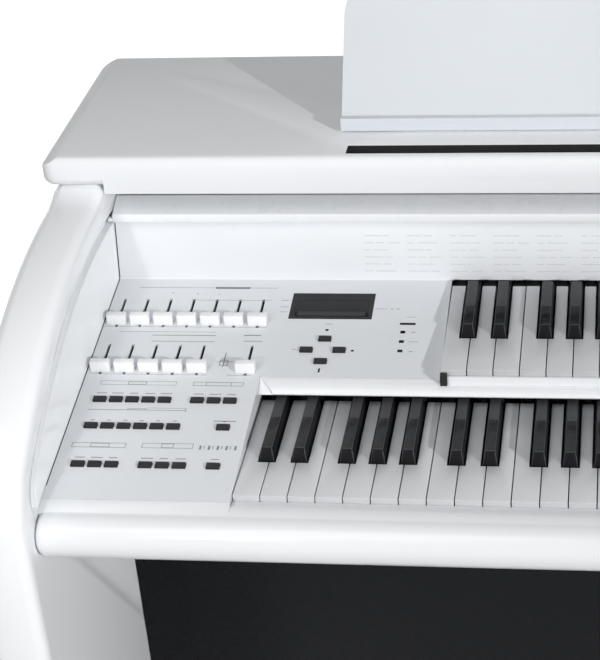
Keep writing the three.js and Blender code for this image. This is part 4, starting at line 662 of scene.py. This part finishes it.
# Rim of the display and the paler strip behind its glass
RIM_LEFT = -329.0
RIM_RIGHT = -249.8
RIM_FOOT = 239.5
RIM_TOP = 278.5
RIM_TOP_BAND = 10.5
RIM_FOOT_BAND = 3.4
RIM_LEFT_BAND = 5
RIM_RIGHT_BAND = 3.6
RIM_LOW = -0.28
RIM_HIGH = -0.1
STRIP_LIMITS = (-321.4, -256.6, 244.6, 250.8)
STRIP_HIGH = -0.16


def display_details():
    """A grained rim around the glass and a paler strip in its lower part."""
    rim = bmesh.new()
    inner_foot, inner_top = RIM_FOOT + RIM_FOOT_BAND, RIM_TOP - RIM_TOP_BAND
    for left, right, low, high in (
        (RIM_LEFT, RIM_RIGHT, inner_top, RIM_TOP),
        (RIM_LEFT, RIM_RIGHT, RIM_FOOT, inner_foot),
        (RIM_LEFT, RIM_LEFT + RIM_LEFT_BAND, inner_foot, inner_top),
        (RIM_RIGHT - RIM_RIGHT_BAND, RIM_RIGHT, inner_foot, inner_top),
    ):
        add_box(rim, on_panel, left, right, low, high, RIM_LOW, RIM_HIGH)
    add_piece("display_rim", rim, DISPLAY_RIM, "cabinet")
    strip = bmesh.new()
    add_box(strip, on_panel, *STRIP_LIMITS, RIM_LOW, STRIP_HIGH)
    add_piece("display_strip", strip, GLASS_STRIP, "cabinet")


# Faint table on the fascia, in columns of broken dashes
FASCIA_FOOT_Y = 297.6
FASCIA_FOOT_Z = 43
TABLE_COLUMNS = 9
TABLE_ROWS = 6
TABLE_LEFT = -262
TABLE_COLUMN_PITCH = 41.3
TABLE_TOP = 44
TABLE_ROW_PITCH = 7.1
TABLE_LINE = 0.7
ENTRY_LENGTHS = (27, 34, 24, 30, 26, 32)
DASH_SHARES = (1.0, 0.85, 0.7)


def on_fascia(x, height, out=0.0):
    """A point on the fascia, measured up its lean from its foot and out from its face."""
    y = FASCIA_FOOT_Y + height * math.sin(FASCIA_LEAN) - out * math.cos(FASCIA_LEAN)
    z = FASCIA_FOOT_Z + height * math.cos(FASCIA_LEAN) + out * math.sin(FASCIA_LEAN)
    return at(x, y, z)


def fascia_table():
    shape = bmesh.new()
    for column in range(TABLE_COLUMNS):
        left = TABLE_LEFT + column * TABLE_COLUMN_PITCH
        for row in range(TABLE_ROWS):
            height = TABLE_TOP - row * TABLE_ROW_PITCH
            length = ENTRY_LENGTHS[(row + column * 2) % 6]
            for dash in range(3):
                start = left + dash * length / 3
                end = start + length / 3 * DASH_SHARES[(row + dash + column) % 3]
                top = height + TABLE_LINE
                add_box(shape, on_fascia, start, end, height, top, PRINT_LOW, PRINT_HIGH)
    add_piece("fascia_table", shape, FASCIA_INK, "cabinet")


# Dark strips along the left ends of panel and fascia, painted shade of the gaps there, a bead that
# closes the fascia's foot, and the felt end of the slip under the upper manual
PANEL_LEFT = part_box("control_panel_left")[0][0] / MM
MANUAL_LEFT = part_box("upper_key_c")[0][0] / MM
FASCIA_FOOT_V = 300.7
FASCIA_HEIGHT = 58
SEAM = 0.8
PANEL_SEAM_V = (8, FASCIA_FOOT_V - 1)
FASCIA_SEAM_HEIGHT = (0.5, FASCIA_HEIGHT - 1)
BEAD_V = (FASCIA_FOOT_V - 0.9, FASCIA_FOOT_V + 0.5)
BEAD_RISE = (-0.3, 0.8)
SLIP_FELT_X = (MANUAL_LEFT - 0.3, MANUAL_LEFT + 5.8)
SLIP_FELT_Y = (143.5, 148)
SLIP_FELT_Z = (19, 32)
TRIM_EDGE = 0.3


def seams():
    shape = bmesh.new()
    # Dark strips on the faces stand in for the shade in the gaps: painted shade
    seam_x = (PANEL_LEFT, PANEL_LEFT + SEAM)
    add_box(shape, on_panel, *seam_x, *PANEL_SEAM_V, PRINT_LOW, PRINT_HIGH)
    add_box(shape, on_fascia, *seam_x, *FASCIA_SEAM_HEIGHT, PRINT_LOW, PRINT_HIGH)
    add_piece("end_seam_shade", shape, FELT, "cabinet")
    bead = bmesh.new()
    add_box(bead, on_panel, PANEL_LEFT + SEAM, MANUAL_LEFT, *BEAD_V, *BEAD_RISE)
    ease_edges(bead, TRIM_EDGE, 1)
    add_piece("fascia_bead", bead, SLIP_PAINT, "cabinet")
    felt = bmesh.new()
    add_box(felt, at, *SLIP_FELT_X, *SLIP_FELT_Y, *SLIP_FELT_Z)
    ease_edges(felt, TRIM_EDGE, 1)
    add_piece("slip_end_felt", felt, FELT, "cabinet")


# Black lining of the recess behind the lid's front edge
RECESS_HALF = 272.9
RECESS_FRONT = 299.6
RECESS_BACK = 317.4
RECESS_FLOOR = 166.1
LID_TOP = 176
LINING = 0.5
LINING_DROP = 0.4


def recess_lining():
    shape = bmesh.new()
    floor_top, top = RECESS_FLOOR + LINING, LID_TOP - LINING_DROP
    inner_front, inner_back = RECESS_FRONT + LINING, RECESS_BACK - LINING
    width = (-RECESS_HALF, RECESS_HALF)
    add_box(shape, at, *width, RECESS_FRONT, RECESS_BACK, RECESS_FLOOR, floor_top)
    for y0, y1 in ((RECESS_FRONT, inner_front), (inner_back, RECESS_BACK)):
        add_box(shape, at, *width, y0, y1, floor_top, top)
    for x0, x1 in ((-RECESS_HALF, LINING - RECESS_HALF), (RECESS_HALF - LINING, RECESS_HALF)):
        add_box(shape, at, x0, x1, inner_front, inner_back, floor_top, top)
    add_piece("recess_lining", shape, FELT, "cabinet")


# Screws of the back panel, and dark strips painted on it as the shade of its ventilation slots
BACK_Y = 536
SCREW_RADIUS = 4.2
SCREW_RISE = 1.6
SCREW_SIDES = 16
SCREW_RINGS = ((1.0, 0.0), (0.97, 0.45), (0.8, 0.8), (0.45, 1.0))
SCREW_COLUMNS = (-490, -330, -165, 0, 165, 330, 490)
SCREW_ROWS = (-640, 122)
EDGE_SCREW_ROWS = (-450, -260, -70)
VENT_CENTRES = (-330, 330)
VENT_HALF_WIDTH = 70
VENT_COUNT = 12
VENT_FOOT_Z = -330
VENT_PITCH = 13
VENT_HEIGHT = 5
VENT_SUNK = 0.2
VENT_PROUD = 0.4


def back_details():
    screws = bmesh.new()
    for x in SCREW_COLUMNS:
        for z in SCREW_ROWS:
            add_screw(screws, x, z)
    for x in (SCREW_COLUMNS[0], SCREW_COLUMNS[-1]):
        for z in EDGE_SCREW_ROWS:
            add_screw(screws, x, z)
    add_piece("back_screws", screws, MATERIALS["sheet_steel"], "cabinet", 30)
    # Dark strips in place of open slots: painted shade
    slots = bmesh.new()
    for centre in VENT_CENTRES:
        for k in range(VENT_COUNT):
            z = VENT_FOOT_Z + k * VENT_PITCH
            add_box(
                slots, at, centre - VENT_HALF_WIDTH, centre + VENT_HALF_WIDTH,
                BACK_Y - VENT_SUNK, BACK_Y + VENT_PROUD, z, z + VENT_HEIGHT,
            )
    add_piece("back_vent_shade", slots, FELT, "cabinet")


def add_screw(shape, x, z):
    """A panel screw with a domed head, on the outside of the back panel."""
    loops = []
    for share, rise in SCREW_RINGS:
        loop = []
        for k in range(SCREW_SIDES):
            turn = 2 * math.pi * k / SCREW_SIDES
            across = SCREW_RADIUS * share * math.cos(turn)
            up = SCREW_RADIUS * share * math.sin(turn)
            loop.append(shape.verts.new(at(x + across, BACK_Y + SCREW_RISE * rise, z + up)))
        loops.append(loop)
    for inner, outer in zip(loops[1:], loops):
        for k in range(SCREW_SIDES):
            after = (k + 1) % SCREW_SIDES
            shape.faces.new((outer[k], outer[after], inner[after], inner[k]))
    shape.faces.new(loops[-1])
    shape.faces.new(loops[0][::-1])


finish_nodes()
printed("panel_legends", INK, legends())
printed("panel_marks", INK, small_marks())
indicators()
display_details()
fascia_table()
seams()
recess_lining()
back_details()


# Stage, lights and camera
FLOOR_SPAN = 12.0
FLOOR_DROP = 0.5
FLOOR_PAINT = (0.7, 0.7, 0.7, 1)
PURE_WHITE = (1, 1, 1, 1)
FLOOR_GLOW = 0.9
AMBIENT = 0.19


def seen_directly(nodes, links):
    """1 for rays that show the background itself: from the camera, in gloss or through glass."""
    path = nodes.new("ShaderNodeLightPath")
    total = path.outputs["Is Camera Ray"]
    for name in ("Is Glossy Ray", "Is Transmission Ray"):
        either = nodes.new("ShaderNodeMath")
        either.operation = "MAXIMUM"
        links.new(total, either.inputs[0])
        links.new(path.outputs[name], either.inputs[1])
        total = either.outputs[0]
    return total


def add_floor():
    """A pale floor that looks white to the camera and still takes the object's shadow."""
    shape = bmesh.new()
    bmesh.ops.create_grid(shape, x_segments=1, y_segments=1, size=FLOOR_SPAN)
    mesh = bpy.data.meshes.new("floor")
    shape.to_mesh(mesh)
    shape.free()
    floor = bpy.data.objects.new("floor", mesh)
    bpy.context.collection.objects.link(floor)
    floor.location = (0, 0, -FLOOR_DROP * MM)
    material = bpy.data.materials.new("floor_paint")
    material.use_nodes = True
    nodes, links = material.node_tree.nodes, material.node_tree.links
    shader = nodes["Principled BSDF"]
    shader.inputs["Base Color"].default_value = FLOOR_PAINT
    shader.inputs["Roughness"].default_value = 0.9
    shader.inputs["Specular IOR Level"].default_value = 0.0
    shader.inputs["Emission Color"].default_value = PURE_WHITE
    glow = nodes.new("ShaderNodeMath")
    glow.operation = "MULTIPLY"
    glow.inputs[1].default_value = FLOOR_GLOW
    links.new(seen_directly(nodes, links), glow.inputs[0])
    links.new(glow.outputs[0], shader.inputs["Emission Strength"])
    mesh.materials.append(material)


def light_world():
    """A white backdrop for the camera that lights the object far more weakly."""
    world = bpy.data.worlds.new("studio")
    bpy.context.scene.world = world
    world.use_nodes = True
    nodes, links = world.node_tree.nodes, world.node_tree.links
    background = nodes["Background"]
    background.inputs["Color"].default_value = PURE_WHITE
    strength = nodes.new("ShaderNodeMapRange")
    strength.inputs["To Min"].default_value = AMBIENT
    strength.inputs["To Max"].default_value = 1.0
    links.new(seen_directly(nodes, links), strength.inputs["Value"])
    links.new(strength.outputs["Result"], background.inputs["Strength"])


LIT_POINT = at(-150, 150, 50)


def seen_from(azimuth, elevation, distance):
    """A place some metres from the lit point; azimuth 0 is the front, positive the right."""
    turn, lift = math.radians(azimuth), math.radians(elevation)
    level = math.cos(lift)
    away = Vector((math.sin(turn) * level, -math.cos(turn) * level, math.sin(lift)))
    return LIT_POINT + away * distance


def add_lamp(name, place, size, power):
    """A square lamp aimed at the lit point, its size in metres and its power in watts."""
    lamp = bpy.data.lights.new(name, "AREA")
    lamp.size = size
    lamp.energy = power
    holder = bpy.data.objects.new(name, lamp)
    bpy.context.collection.objects.link(holder)
    holder.location = place
    holder.rotation_euler = (place - LIT_POINT).to_track_quat("Z", "Y").to_euler()
    holder.visible_camera = False


# Camera fitted to the photograph: its place in millimetres, its turns in radians, and its focal
# length and shift in pixels of the photograph
CAMERA_X = -20.55
CAMERA_Y = -1216.98
CAMERA_Z = 887.7
CAMERA_PITCH = 0.531309
CAMERA_YAW = -0.157756
CAMERA_ROLL = -0.072151
FOCAL_PX = 1814.76
SHIFT_PX = 70
IMAGE_LONG_PX = 660
SENSOR = 36.0
CLIP_END = 50


def add_camera():
    data = bpy.data.cameras.new("camera")
    data.sensor_width = SENSOR
    data.lens = FOCAL_PX / IMAGE_LONG_PX * SENSOR
    data.shift_x = -SHIFT_PX / IMAGE_LONG_PX
    data.clip_end = CLIP_END
    camera = bpy.data.objects.new("camera", data)
    bpy.context.collection.objects.link(camera)
    level, drop = math.cos(CAMERA_PITCH), math.sin(CAMERA_PITCH)
    ahead = Vector((math.sin(CAMERA_YAW) * level, math.cos(CAMERA_YAW) * level, -drop))
    side = Vector((math.cos(CAMERA_YAW), -math.sin(CAMERA_YAW), 0))
    up = side.cross(ahead)
    turn = Matrix((side, up, -ahead)).transposed() @ Matrix.Rotation(CAMERA_ROLL, 3, "Z")
    camera.matrix_world = Matrix.Translation(at(CAMERA_X, CAMERA_Y, CAMERA_Z)) @ turn.to_4x4()
    bpy.context.scene.camera = camera


add_floor()
light_world()
add_lamp("right_lamp", seen_from(azimuth=45, elevation=18.5, distance=10.0), size=0.15, power=630)
add_lamp("left_lamp", at(-620, -600, 340), size=0.03, power=1.25)
add_lamp("fill_lamp", seen_from(azimuth=-32, elevation=52, distance=2.4), size=1.4, power=18.0)
add_camera()
bpy.context.scene.view_settings.view_transform = "Standard"
